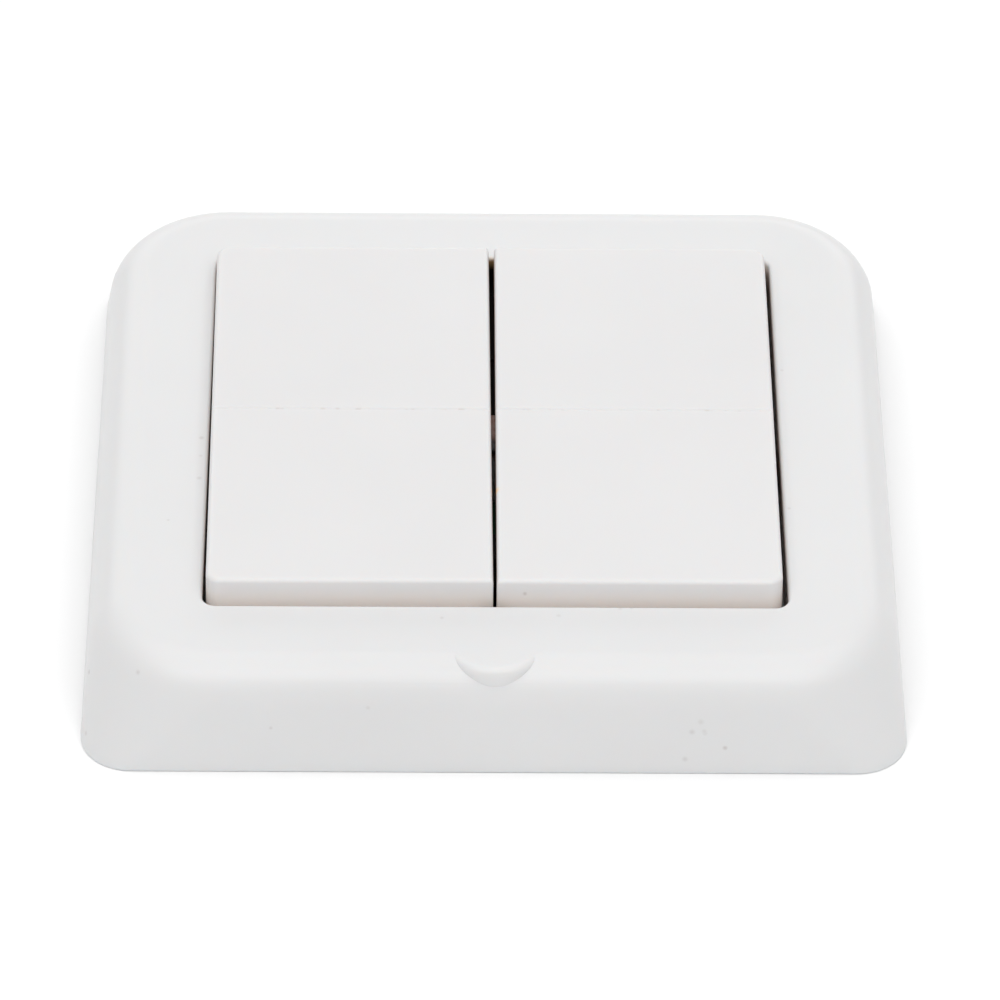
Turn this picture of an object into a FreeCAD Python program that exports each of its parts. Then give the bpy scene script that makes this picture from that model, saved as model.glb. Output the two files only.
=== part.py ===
import FreeCAD, Part
import math
import os

from FreeCAD import Vector

# Wireless remote wall switch, two gang, lying on its back.
# Millimetres. X is to the right, Y is up the wall, Z is out of the wall; the wall face is z = 0.

# Frame cover
FRAME_MARGIN = 11.58    # width of the frame at the wall, from the opening to the cover's side
FRAME_H = 11.4          # height of the frame's flat top
SIDE_INSET = 1.3        # how far the drafted sides lean in over the whole height
BASE_CORNER = 5.0       # plan radius of the corners at the wall
TOP_CORNER = 14.4       # plan radius that the same corners grow to at the top
EDGE_ROUND = 4.4        # round between the sides and the top
WALL = 2.0              # moulded wall of the cover
OPENING_CORNER = 0.9
LIP = 0.3               # small bevel at the opening's rim
COLLAR_WALL = 1.6       # wall that hangs down round the opening
COLLAR_FOOT = 5.2       # height of the collar's lower end
LOW_CAVITY_TOP = 4.8    # the cavity has tighter corners below this height
BOSS_R = 5.1            # bare round boss at the bottom centre
BOSS_IN = 5.4           # from the side of the cover's top to the boss's middle
RIB = 1.2               # stiffening ribs under the top
RIB_FOOT = 6.6
RIB_X = 9.0

# Rockers
ROCKER_TOP = 13.6
SIDE_GAP = 0.5          # between a rocker and the opening's side
END_GAP = 1.05          # between a rocker and the opening's ends, which the tilt takes up
CENTRE_GAP = 0.52       # between the two rockers
ROCKER_WALL = 1.5
ROCKER_SKIN = 1.6       # thickness of the top
SKIRT_FOOT = 9.6        # lower end of the outer and end walls
INNER_SKIRT_FOOT = 10.3 # the walls beside the centre gap end higher, to pass over the cell
ROCKER_EDGE = 0.5
ROCKER_OUTER_CORNER = 1.0
GROOVE_W = 0.4
GROOVE_D = 0.22
ROCKER_RIB = 1.0
ROCKER_RIB_H = 1.4
CROSS_RIB_Y = 9.0
TILT = 2.4              # degrees each way

# Pivots
PIVOT_Z = 8.9
PIN_R = 1.0
PIN_CLEARANCE = 0.05
PIN_END_GAP = 0.7       # between the two pins that meet in the pillar
BEARING_LEN = 6.0       # length along Y of the pillar, the ears and the lugs
PILLAR_W = 3.2
PILLAR_OVER = 2.1       # height over the pivot
EAR_W = 1.8
EAR_OVER = 1.7
EAR_GAP = 0.5           # from an ear to the room for a wall screw's head
BEARING_ROUND = 1.0
PIN_RIB_W = 1.4
RUNNING_GAP = 0.5       # beside the pillar
LUG_UNDER = 1.4         # how far a rocker's lugs reach below the pivot
PIN_START = 0.2         # how far an outer pin stands out of its ear

# Wall plate
PLATE_T = 1.6
PLATE_FIT = 0.2         # between the plate's rim and the cover
SCREW_OUT = 1.58        # from the opening's side to a wall screw, which sets them 60 mm apart
SLOT_R = 2.1
SLOT_LEN = 6.2
HEAD_ROOM_R = 4.8       # room in the chassis for a wall screw's head
HOOK_X = 18.0
HOOK_W = 8.0
HOOK_T = 1.4
HOOK_GAP = 0.5          # between a hook's stem and the cover's ledge
LEDGE_Z = 3.4
LEDGE_T = 1.0
LEDGE_DEPTH = 0.9
LEDGE_LEN = 10.0
BARB_LIFT = 0.05
BARB_H = 1.0
BARB_FLAT = 0.3
STOP_X = 12.0           # short ribs that locate the chassis on the plate
STOP_L = 6.0
STOP_T = 1.0
STOP_H = 1.8
STOP_FIT = 0.2

# Chassis
CHASSIS_FIT = 0.4       # to the inside of the collar
FLOOR_T = 1.2
CHASSIS_WALL = 1.2
CHASSIS_TOP = 6.4
CHASSIS_CORNER = 1.5

# Board screws
SCREW_END = 0.2         # material left under a screw's end
SHANK_R = 0.85
PILOT_R = 0.9
SCREW_HOLE_R = 1.25
HEAD_R = 1.9
HEAD_H = 1.2
RECESS_R = 0.95
RECESS_W = 0.5
RECESS_D = 0.6

# Circuit board
STANDOFF = 0.8          # room under the board
BOARD_T = 1.0
BOARD_FIT = 1.22        # inside the chassis wall
BOARD_CORNER = 1.0
BOARD_GAP = 0.6         # round what passes through the board
BOARD_SCREW_IN = 17.0   # from the board's upper or lower edge to a screw
BOARD_SCREW_EAR = 3.2   # from an ear to the screw beside it
SCREW_PAD_HALF = 2.4
PAD_HALF = 2.2          # pads that carry the board under the push switches

# Push switches
SWITCH_GAP = 0.4        # between a switch and the battery holder
SWITCH_IN = 7.6         # from the board's upper or lower edge to a switch's middle
SWITCH_SIDE = 6.2
SWITCH_CASE_H = 3.2
SHIELD_T = 0.3
SHIELD_TAB_W = 2.2
SHIELD_TAB_H = 2.2
PLUNGER_R = 1.7
PLUNGER_STAND = 0.8     # how far a plunger stands out of its shield
PLUNGER_TRAVEL = 0.25
PLUNGER_FIT = 0.1
PLUNGER_DEPTH = 0.9     # how far a plunger reaches into its case
PLUNGER_ROOM = 0.4      # left under it
LEAD_W = 0.7
LEAD_T = 0.2
LEAD_REACH = 1.0
LEAD_Z = 0.9
LEAD_Y = 2.2

# Leaf springs
LEAF_T = 0.3
LEAF_W = 5.0
LEAF_PAD = 3.2          # flat half length on its post
LEAF_TIP_BEFORE = 5.0   # flat end of an arm, to each side of its plunger
LEAF_TIP_AFTER = 2.6
LEAF_BEND_R = 2.0
LEAF_POST_HALF = 2.0
LEAF_POST_TOP = 7.6
STAKE_HALF = 0.8        # square stake that the spring is swaged on
STAKE_HEAD_HALF = 1.4
STAKE_HEAD_H = 0.4
LEAF_TIP_BEVEL = 1.0
POST_HALF = 1.8         # half width of a rocker's cross shaped post
POST_WEB = 1.0
POST_PLAY = 0.04

# Battery
CELL_R = 10.0
CELL_H = 3.2
CELL_RIM = 1.2          # from the cell's side to the cap under it
CELL_CAP_H = 0.35
HOLDER_GAP = 0.5        # between the holder and the pillar
HOLDER_FIT = 0.15
HOLDER_WALL = 0.85
HOLDER_FLOOR = 0.7
LEDGE_RUN = 3.2         # from the cell's side to the square hole in the ledge under it
CELL_MARGIN = 2.92      # from the holder to the opening's upper side
HOLDER_WALL_H = 3.3
FINGER_NOTCH_W = 8.0
CLIP_W = 6.0
CLIP_T = 0.3
CLIP_FOOT_FIT = 0.5     # from the holder's ledge to the clip's foot
CLIP_BACK = 0.1         # the upright stands in from the holder's outer face
CLIP_FIT = 0.15
CONTACT_W = 5.0
CONTACT_T = 0.15
CONTACT_FIT = 0.3       # from the strip's ends to the holder's ledge
CONTACT_RISE = 2.0      # length of a slope up to the tongue
TONGUE_HALF = 1.0

# Parts on the board
CHIP_X = -3.6
CHIP_IN = 13.2          # this and the three below are from the board's lower edge
CHIP_L = 8.6
CHIP_W = 3.9
CHIP_H = 1.4
CHIP_STAND = 0.15
CHIP_LEADS = 7
CHIP_PITCH = 1.1
CHIP_LEAD_W = 0.42
CHIP_LEAD_T = 0.2
CHIP_LEAD_REACH = 1.0
CAN_X = 4.4
CAN_IN = 6.0
CAN_L = 11.0
CAN_W = 4.6
CAN_H = 3.2
CAN_FLANGE = 0.4
TRANSISTOR_X = 6.6
TRANSISTOR_IN = 15.0
TRANSISTOR_L = 2.9
TRANSISTOR_W = 1.4
TRANSISTOR_H = 1.0
WIRE_R = 0.4
WIRE_IN = 1.4
WIRE_HALF = 17.5
WIRE_TOP = 7.0
CAPACITOR_L = 2.0
CAPACITOR_W = 1.25
CAPACITOR_H = 0.85
RESISTOR_H = 0.5
CHIP_EDGE = 0.25
DIMPLE_R = 0.4
DIMPLE_D = 0.1
DIMPLE_IN = 1.1         # from the chip's edges
TRANSISTOR_EDGE = 0.2
TRANSISTOR_STAND = 0.1
LEG_W = 0.4
LEG_T = 0.15
LEG_REACH = 0.5
LEG_X = 0.95
CAPACITOR_SIDE = [14.1, 11.1, 8.1]      # up the board's side, from its lower edge
CAPACITOR_INNER = [(8.6, 11.7), (3.4, 10.7)]
RESISTOR_SIDE = [13.6, 10.6]
RESISTOR_INNER = [(-7.6, 6.6), (-4.6, 6.6), (7.0, 18.6)]
CHIP_ROW_IN = 4.1       # from the board's sides to the small parts beside the switches
UPPER_CHIP_IN = 13.6    # from the board's upper edge

NEAR = 0.1              # reach of a search for edges

# Worked out from the sizes above
HOLDER_R = CELL_R + HOLDER_FIT + HOLDER_WALL
CELL_Y = BEARING_LEN / 2 + HOLDER_GAP + HOLDER_R
HALF_OPENING = CELL_Y + HOLDER_R + CELL_MARGIN
HALF_BASE = HALF_OPENING + FRAME_MARGIN
BOSS_Y = SIDE_INSET + BOSS_IN - HALF_BASE
INNER_WALL = HALF_BASE - SIDE_INSET * (FRAME_H - EDGE_ROUND) / FRAME_H - WALL
SCREW_X = HALF_OPENING + SCREW_OUT
ROCKER_IN = CENTRE_GAP / 2
ROCKER_OUT = HALF_OPENING - SIDE_GAP
ROCKER_END = HALF_OPENING - END_GAP
ROCKER_CEILING = ROCKER_TOP - ROCKER_SKIN
PILLAR_TOP = PIVOT_Z + PILLAR_OVER
EAR_TOP = PIVOT_Z + EAR_OVER
EAR_X = SCREW_X - HEAD_ROOM_R - EAR_GAP - EAR_W / 2
LUG_FOOT = PIVOT_Z - LUG_UNDER
BOARD_HALF = HALF_OPENING - CHASSIS_FIT - CHASSIS_WALL - BOARD_FIT
FLOOR_Z = PLATE_T + FLOOR_T
BOARD_Z = FLOOR_Z + STANDOFF
DECK_Z = BOARD_Z + BOARD_T
CASE_TOP = DECK_Z + SWITCH_CASE_H
SHIELD_TOP = CASE_TOP + SHIELD_T
PLUNGER_TOP = SHIELD_TOP + PLUNGER_STAND
SWITCH_Y = BOARD_HALF - SWITCH_IN
LEAF_BEND_Y = SWITCH_Y - LEAF_TIP_BEFORE
LEAF_TIP_Y = SWITCH_Y + LEAF_TIP_AFTER
POST_TRAVEL = SWITCH_Y * math.sin(math.radians(TILT))
LEAF_TIP_Z = PLUNGER_TOP + POST_TRAVEL - PLUNGER_TRAVEL
POST_FOOT = LEAF_TIP_Z + LEAF_T + POST_PLAY
SWITCH_X = HOLDER_R + SWITCH_GAP + SHIELD_T + SWITCH_SIDE / 2
CELL_CAP_R = CELL_R - CELL_RIM
HOLDER_LEDGE_HALF = CELL_R - LEDGE_RUN
CONTACT_HALF = HOLDER_LEDGE_HALF - CONTACT_FIT
WIRE_Y = WIRE_IN - BOARD_HALF
CELL_Z = DECK_Z + HOLDER_FLOOR
CELL_TOP = CELL_Z + CELL_H
BOARD_SCREW_X = EAR_X - BOARD_SCREW_EAR
BOARD_SCREW_Y = BOARD_HALF - BOARD_SCREW_IN
CHIP_Y = CHIP_IN - BOARD_HALF
CAN_Y = CAN_IN - BOARD_HALF
TRANSISTOR_Y = TRANSISTOR_IN - BOARD_HALF
SIDES = {"left": -1, "right": 1}
ENDS = {"upper": 1, "lower": -1}
CORNERS = [(i, j) for i in (-1, 1) for j in (-1, 1)]
BOARD_SCREWS = [(1, 1), (-1, -1)]


def box(x0, x1, y0, y1, z0, z1):
    return Part.makeBox(x1 - x0, y1 - y0, z1 - z0, Vector(x0, y0, z0))


def block(x, y, half_x, half_y, z0, z1):
    return box(x - half_x, x + half_x, y - half_y, y + half_y, z0, z1)


def post(radius, z0, z1, x=0.0, y=0.0):
    return Part.makeCylinder(radius, z1 - z0, Vector(x, y, z0))


def pin_along_x(radius, x0, x1, y, z):
    return Part.makeCylinder(radius, x1 - x0, Vector(x0, y, z), Vector(1, 0, 0))


def fuse(shapes):
    return shapes[0].multiFuse(shapes[1:]).removeSplitter()


def mirror_x(shape):
    return shape.mirror(Vector(0, 0, 0), Vector(1, 0, 0))


def profile_along_x(points, x0, x1):
    """A prism along X from (y, z) points."""
    wire = Part.makePolygon([Vector(x0, y, z) for y, z in points + points[:1]])
    return Part.Face(wire).extrude(Vector(x1 - x0, 0, 0))


def rounded_square(half, corner, z):
    """A closed square outline with round corners, anticlockwise from the +X side."""
    turns = [(1, 1), (-1, 1), (-1, -1), (1, -1)]
    arcs = []
    for count, (sx, sy) in enumerate(turns):
        centre = Vector(sx * (half - corner), sy * (half - corner), z)
        start = math.radians(90 * count)
        steps = [start, start + math.pi / 4, start + math.pi / 2]
        arcs.append([centre + Vector(corner * math.cos(a), corner * math.sin(a), 0) for a in steps])
    edges = []
    for count, arc in enumerate(arcs):
        edges.append(Part.Arc(*arc).toShape())
        edges.append(Part.LineSegment(arc[2], arcs[(count + 1) % 4][0]).toShape())
    return Part.Wire(edges)


def rounded_block(half, corner, z0, z1):
    return Part.Face(rounded_square(half, corner, z0)).extrude(Vector(0, 0, z1 - z0))


def stadium(length, width, z0, z1):
    """A block along X with half round ends."""
    reach = (length - width) / 2
    ends = [post(width / 2, z0, z1, side * reach) for side in (-1, 1)]
    return fuse([block(0, 0, reach, width / 2, z0, z1)] + ends)


def edges_at(shape, z, tolerance=1e-4):
    return [e for e in shape.Edges if all(abs(v.Z - z) < tolerance for v in e.Vertexes)]


def bounds_within(shape, low, high):
    """The edges of a shape that lie wholly inside a box."""
    found = []
    for edge in shape.Edges:
        b = edge.BoundBox
        inside_low = b.XMin > low[0] and b.YMin > low[1] and b.ZMin > low[2]
        inside_high = b.XMax < high[0] and b.YMax < high[1] and b.ZMax < high[2]
        if inside_low and inside_high:
            found.append(edge)
    return found


# Frame cover
def corner_at(z):
    """Plan radius of the cover's corners, which grows towards the top."""
    return BASE_CORNER + (TOP_CORNER - BASE_CORNER) * z / FRAME_H


def cover_form():
    """The cover's solid block, with drafted sides and corners that grow towards the top."""
    low = HALF_BASE
    high = low - SIDE_INSET
    form = Part.makeWedge(-low, 0, -low, -high, -high, low, FRAME_H, low, high, high)
    form.rotate(Vector(0, 0, 0), Vector(1, 0, 0), 90)
    corners = [e for e in form.Edges if e.BoundBox.ZLength > NEAR]
    return form.makeFillet(BASE_CORNER, TOP_CORNER, corners)


def cover_ribs():
    collar = HALF_OPENING + COLLAR_WALL
    middle = (HALF_BASE + collar) / 2
    half = (HALF_BASE - collar) / 2
    top = FRAME_H - WALL
    ribs = []
    for sx, sy in CORNERS:
        ribs.append(block(sx * RIB_X, sy * middle, RIB / 2, half, RIB_FOOT, top))
        ribs.append(block(sx * middle, sy * RIB_X, half, RIB / 2, RIB_FOOT, top))
    return ribs


def cover_ledges():
    """Four ledges inside the lower and upper walls, which the wall plate's hooks catch."""
    outer = HALF_BASE
    inner = INNER_WALL - LEDGE_DEPTH
    middle = (outer + inner) / 2
    half = (outer - inner) / 2
    top = LEDGE_Z + LEDGE_T
    return [block(sx * HOOK_X, sy * middle, LEDGE_LEN / 2, half, LEDGE_Z, top) for sx, sy in CORNERS]


def cover_cavity():
    """The room inside the cover, with wider corners and a bevel under the outer edge round."""
    ceiling = FRAME_H - WALL
    low_corner = corner_at(LOW_CAVITY_TOP) - WALL
    low = rounded_block(INNER_WALL, low_corner, 0.0, LOW_CAVITY_TOP)
    high = rounded_block(INNER_WALL, corner_at(ceiling) - WALL, 0.0, ceiling)
    tangent_bevel = (EDGE_ROUND - WALL) * (2 - math.sqrt(2))
    return fuse([low, high.makeChamfer(tangent_bevel, edges_at(high, ceiling))])


def frame_cover():
    form = cover_form()
    form = form.makeFillet(EDGE_ROUND, edges_at(form, FRAME_H))
    boss = post(BOSS_R, FRAME_H - EDGE_ROUND, FRAME_H, 0, BOSS_Y)
    outside = fuse([form, boss])
    collar_half = HALF_OPENING + COLLAR_WALL
    collar = rounded_block(collar_half, OPENING_CORNER + COLLAR_WALL, COLLAR_FOOT, FRAME_H - WALL)
    room = cover_cavity().cut(fuse([collar] + cover_ribs() + cover_ledges()))
    opening = rounded_block(HALF_OPENING, OPENING_CORNER, 0.0, FRAME_H)
    shell = outside.cut(room).cut(opening).removeSplitter()
    near = HALF_OPENING + NEAR
    lip = bounds_within(shell, (-near, -near, FRAME_H - NEAR), (near, near, FRAME_H + NEAR))
    return shell.makeChamfer(LIP, lip)


# Wall plate
def hook(sx, sy):
    """One snap hook: a springy stem with a barb that catches over the cover's ledge."""
    ledge_face = INNER_WALL - LEDGE_DEPTH
    outer = ledge_face - HOOK_GAP
    inner = outer - HOOK_T
    catch = LEDGE_Z + LEDGE_T + BARB_LIFT
    tip = ledge_face + LEDGE_DEPTH / 2
    points = [(inner, 0.0), (outer, 0.0), (outer, catch), (tip, catch)]
    points += [(tip, catch + BARB_FLAT), (outer, catch + BARB_H), (inner, catch + BARB_H)]
    stem = profile_along_x([(sy * y, z) for y, z in points], -HOOK_W / 2, HOOK_W / 2)
    stem.translate(Vector(sx * HOOK_X, 0, 0))
    return stem


def wall_plate():
    half = INNER_WALL - PLATE_FIT
    corner = corner_at(LOW_CAVITY_TOP) - WALL
    plate = rounded_block(half, corner, 0.0, PLATE_T)
    raised = [hook(sx, sy) for sx, sy in CORNERS]
    stop = HALF_OPENING + COLLAR_WALL + STOP_FIT + STOP_T / 2
    top = PLATE_T + STOP_H
    for sx, sy in CORNERS:
        raised.append(block(sx * STOP_X, sy * stop, STOP_L / 2, STOP_T / 2, 0.0, top))
        raised.append(block(sx * stop, sy * STOP_X, STOP_T / 2, STOP_L / 2, 0.0, top))
    plate = fuse([plate] + raised)
    for side in SIDES.values():
        slot = stadium(SLOT_LEN, 2 * SLOT_R, 0.0, PLATE_T)
        slot.translate(Vector(side * SCREW_X, 0, 0))
        plate = plate.cut(slot)
    return plate


# Chassis
def bearing_block(x, width, top):
    """An upright with the pivot's bore through it, rounded over its top."""
    half = BEARING_LEN / 2
    upright = box(x - width / 2, x + width / 2, -half, half, PLATE_T, top)
    shoulders = [e for e in edges_at(upright, top) if e.BoundBox.XLength > NEAR]
    upright = upright.makeFillet(BEARING_ROUND, shoulders)
    return upright.cut(pin_along_x(PIN_R + PIN_CLEARANCE, x - width / 2, x + width / 2, 0, PIVOT_Z))


def leaf_post(x):
    """The post that a leaf spring is staked to: shoulder, stake and flattened head."""
    head_z = LEAF_POST_TOP + LEAF_T
    head_top = head_z + STAKE_HEAD_H
    shoulder = block(x, 0, LEAF_POST_HALF, LEAF_POST_HALF, PLATE_T, LEAF_POST_TOP)
    stake = block(x, 0, STAKE_HALF, STAKE_HALF, LEAF_POST_TOP, head_z)
    head = block(x, 0, STAKE_HEAD_HALF, STAKE_HEAD_HALF, head_z, head_top)
    head = head.makeChamfer(STAKE_HEAD_H / 2, edges_at(head, head_top))
    return [shoulder, stake, head]


def chassis():
    half = HALF_OPENING - CHASSIS_FIT
    shelf_half = HALF_OPENING + COLLAR_WALL
    wall = rounded_block(half, CHASSIS_CORNER, PLATE_T, CHASSIS_TOP)
    shelf = rounded_block(shelf_half, OPENING_CORNER + COLLAR_WALL, PLATE_T, COLLAR_FOOT)
    inner = half - CHASSIS_WALL
    room = rounded_block(inner, CHASSIS_CORNER - CHASSIS_WALL, FLOOR_Z, CHASSIS_TOP)
    tub = fuse([wall, shelf]).cut(room)
    for side in SIDES.values():
        tub = tub.cut(post(HEAD_ROOM_R, PLATE_T, CHASSIS_TOP, side * SCREW_X))
    added = []
    for sx, sy in CORNERS:
        x = sx * BOARD_SCREW_X
        y = sy * BOARD_SCREW_Y
        added.append(block(x, y, SCREW_PAD_HALF, SCREW_PAD_HALF, FLOOR_Z, BOARD_Z))
        added.append(block(sx * SWITCH_X, sy * SWITCH_Y, PAD_HALF, PAD_HALF, FLOOR_Z, BOARD_Z))
    added.append(bearing_block(0.0, PILLAR_W, PILLAR_TOP))
    for side in SIDES.values():
        added.append(bearing_block(side * EAR_X, EAR_W, EAR_TOP))
        added += leaf_post(side * SWITCH_X)
    tub = fuse([tub] + added)
    for sx, sy in BOARD_SCREWS:
        tub = tub.cut(post(PILOT_R, PLATE_T, BOARD_Z, sx * BOARD_SCREW_X, sy * BOARD_SCREW_Y))
    return tub


# Screws
def pan_screw(x, y, seat_z, length):
    """A pan head screw with a cross recess, its head seated at one height."""
    shank = post(SHANK_R, seat_z - length, seat_z, x, y)
    head = post(HEAD_R, seat_z, seat_z + HEAD_H, x, y)
    screw = fuse([shank, head])
    top = seat_z + HEAD_H
    for half_x, half_y in ((RECESS_R, RECESS_W / 2), (RECESS_W / 2, RECESS_R)):
        screw = screw.cut(block(x, y, half_x, half_y, top - RECESS_D, top))
    return screw


def board_screws():
    length = DECK_Z - PLATE_T - SCREW_END
    places = [(sx * BOARD_SCREW_X, sy * BOARD_SCREW_Y) for sx, sy in BOARD_SCREWS]
    return Part.makeCompound([pan_screw(x, y, DECK_Z, length) for x, y in places])


# Circuit board
def circuit_board():
    board = rounded_block(BOARD_HALF, BOARD_CORNER, BOARD_Z, DECK_Z)
    half_len = BEARING_LEN / 2 + BOARD_GAP
    cuts = [block(0, 0, PILLAR_W / 2 + BOARD_GAP, half_len, BOARD_Z, DECK_Z)]
    notch_half = HEAD_ROOM_R + BOARD_GAP
    ear_in = EAR_X - EAR_W / 2 - BOARD_GAP
    for side in SIDES.values():
        low, high = sorted((side * ear_in, side * BOARD_HALF))
        cuts.append(box(low, high, -notch_half, notch_half, BOARD_Z, DECK_Z))
        hole = LEAF_POST_HALF + BOARD_GAP
        cuts.append(block(side * SWITCH_X, 0, hole, hole, BOARD_Z, DECK_Z))
    for sx, sy in BOARD_SCREWS:
        cuts.append(post(SCREW_HOLE_R, BOARD_Z, DECK_Z, sx * BOARD_SCREW_X, sy * BOARD_SCREW_Y))
    return board.cut(cuts)


# Push switches
def switch_case(x, y):
    case = block(0, 0, SWITCH_SIDE / 2, SWITCH_SIDE / 2, DECK_Z, CASE_TOP)
    room = post(PLUNGER_R + PLUNGER_FIT, CASE_TOP - PLUNGER_DEPTH - PLUNGER_ROOM, CASE_TOP)
    case = case.cut(room)
    case.translate(Vector(x, y, 0))
    return case


def switch_shield(x, y):
    """The pressed cover: a square lid with a round hole and a tab folded down each side."""
    half = SWITCH_SIDE / 2
    tab_foot = SHIELD_TOP - SHIELD_TAB_H
    lid = block(0, 0, half, half, CASE_TOP, SHIELD_TOP)
    tabs = []
    for side in SIDES.values():
        low, high = sorted((side * half, side * (half + SHIELD_T)))
        tabs.append(box(low, high, -SHIELD_TAB_W / 2, SHIELD_TAB_W / 2, tab_foot, SHIELD_TOP))
    shield = fuse([lid] + tabs).cut(post(PLUNGER_R + PLUNGER_FIT, CASE_TOP, SHIELD_TOP))
    shield.translate(Vector(x, y, 0))
    return shield


def plunger(x, y):
    return post(PLUNGER_R, CASE_TOP - PLUNGER_DEPTH, PLUNGER_TOP, x, y)


def switch_leads():
    """Four folded leads on each switch, all of them one group."""
    leads = []
    inner = SWITCH_SIDE / 2
    high = DECK_Z + LEAD_Z
    outer = inner + LEAD_REACH
    points = [(inner, DECK_Z), (outer, DECK_Z), (outer, DECK_Z + LEAD_T)]
    points += [(inner + LEAD_T, DECK_Z + LEAD_T), (inner + LEAD_T, high), (inner, high)]
    for sx, sy in CORNERS:
        for end in (-1, 1):
            for place in (-1, 1):
                lead = profile_along_x([(end * y, z) for y, z in points], -LEAD_W / 2, LEAD_W / 2)
                lead.translate(Vector(sx * SWITCH_X + place * LEAD_Y, sy * SWITCH_Y, 0))
                leads.append(lead)
    return Part.makeCompound(leads)


# Leaf springs
def leaf_spring(x):
    """A stamped strip staked at its middle, with an arm to each push switch."""
    line = [(LEAF_PAD, LEAF_POST_TOP), (LEAF_BEND_Y, LEAF_TIP_Z), (LEAF_TIP_Y, LEAF_TIP_Z)]
    lower = [(-y, z) for y, z in reversed(line)] + line
    upper = [(y, z + LEAF_T) for y, z in reversed(lower)]
    strip = profile_along_x(lower + upper, -LEAF_W / 2, LEAF_W / 2)
    along = [e for e in strip.Edges if e.BoundBox.XLength > NEAR]
    bends = [e for e in along if abs(abs(e.CenterOfMass.y) - LEAF_BEND_Y) < NEAR]
    strip = strip.makeFillet(LEAF_BEND_R, bends)
    uprights = [e for e in strip.Edges if e.BoundBox.XLength < NEAR and e.BoundBox.YLength < NEAR]
    tips = [e for e in uprights if abs(abs(e.CenterOfMass.y) - LEAF_TIP_Y) < NEAR]
    strip = strip.makeChamfer(LEAF_TIP_BEVEL, tips)
    strip = strip.cut(block(0, 0, STAKE_HALF, STAKE_HALF, LEAF_POST_TOP, LEAF_POST_TOP + LEAF_T))
    strip.translate(Vector(x, 0, 0))
    return strip


# Rockers
def rocker_right():
    half_x = (ROCKER_OUT - ROCKER_IN) / 2
    middle = (ROCKER_OUT + ROCKER_IN) / 2
    cap = block(middle, 0, half_x, ROCKER_END, SKIRT_FOOT, ROCKER_TOP)
    outer = [e for e in cap.Edges if e.BoundBox.ZLength > ROCKER_EDGE and e.CenterOfMass.x > middle]
    cap = cap.makeFillet(ROCKER_OUTER_CORNER, outer)
    cap = cap.makeFillet(ROCKER_EDGE, edges_at(cap, ROCKER_TOP))
    inner_x = ROCKER_IN + ROCKER_WALL
    outer_x = ROCKER_OUT - ROCKER_WALL
    inner_end = ROCKER_END - ROCKER_WALL
    cap = cap.cut(box(inner_x, outer_x, -inner_end, inner_end, SKIRT_FOOT, ROCKER_CEILING))
    cap = cap.cut(box(0, inner_x, -ROCKER_END, ROCKER_END, SKIRT_FOOT, INNER_SKIRT_FOOT))
    half_len = BEARING_LEN / 2
    gate = half_len + RUNNING_GAP
    cap = cap.cut(box(0, inner_x, -gate, gate, SKIRT_FOOT, PILLAR_TOP + RUNNING_GAP))
    groove = [(-GROOVE_W / 2, ROCKER_TOP), (GROOVE_W / 2, ROCKER_TOP), (0, ROCKER_TOP - GROOVE_D)]
    cap = cap.cut(profile_along_x(groove, 0, HALF_OPENING))

    rib_foot = ROCKER_CEILING - ROCKER_RIB_H
    added = []
    for sy in ENDS.values():
        rib_y = sy * CROSS_RIB_Y - ROCKER_RIB / 2
        added.append(box(inner_x, outer_x, rib_y, rib_y + ROCKER_RIB, rib_foot, ROCKER_CEILING))
        for half_w, half_l in ((POST_HALF, POST_WEB / 2), (POST_WEB / 2, POST_HALF)):
            added.append(block(SWITCH_X, sy * SWITCH_Y, half_w, half_l, POST_FOOT, ROCKER_CEILING))
    added.append(block(SWITCH_X, 0, ROCKER_RIB / 2, inner_end, rib_foot, ROCKER_CEILING))

    pin_x = PIN_END_GAP / 2
    rib_x = PILLAR_W / 2 + RUNNING_GAP
    added.append(box(rib_x, rib_x + PIN_RIB_W, -half_len, half_len, LUG_FOOT, ROCKER_CEILING))
    added.append(pin_along_x(PIN_R, pin_x, rib_x, 0, PIVOT_Z))
    added.append(box(outer_x, ROCKER_OUT, -half_len, half_len, LUG_FOOT, ROCKER_CEILING))
    added.append(pin_along_x(PIN_R, EAR_X - EAR_W / 2 - PIN_START, outer_x, 0, PIVOT_Z))
    return fuse([cap] + added)


# Battery
def coin_cell():
    """A can with a smaller cap below it, both turned about the cell's axis."""
    can = post(CELL_R, CELL_Z + CELL_CAP_H, CELL_TOP, 0, CELL_Y)
    cap = post(CELL_CAP_R, CELL_Z, CELL_Z + CELL_CAP_H, 0, CELL_Y)
    return fuse([can, cap])


def battery_holder():
    """A ring round the cell with a ledge under its rim, a finger notch and a slot for the clip."""
    wall_top = DECK_Z + HOLDER_WALL_H
    ring = post(HOLDER_R, DECK_Z, wall_top, 0, CELL_Y)
    ring = ring.cut(post(CELL_R + HOLDER_FIT, CELL_Z, wall_top, 0, CELL_Y))
    ring = ring.cut(block(0, CELL_Y, HOLDER_LEDGE_HALF, HOLDER_LEDGE_HALF, DECK_Z, CELL_Z))
    far = CELL_Y + HOLDER_R
    near = CELL_Y - HOLDER_R
    clip_half = CLIP_W / 2 + CLIP_FIT
    ring = ring.cut(box(-clip_half, clip_half, CELL_Y + HOLDER_LEDGE_HALF, far, DECK_Z, wall_top))
    notch_half = FINGER_NOTCH_W / 2
    return ring.cut(box(-notch_half, notch_half, near, CELL_Y, CELL_Z, wall_top))


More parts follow.
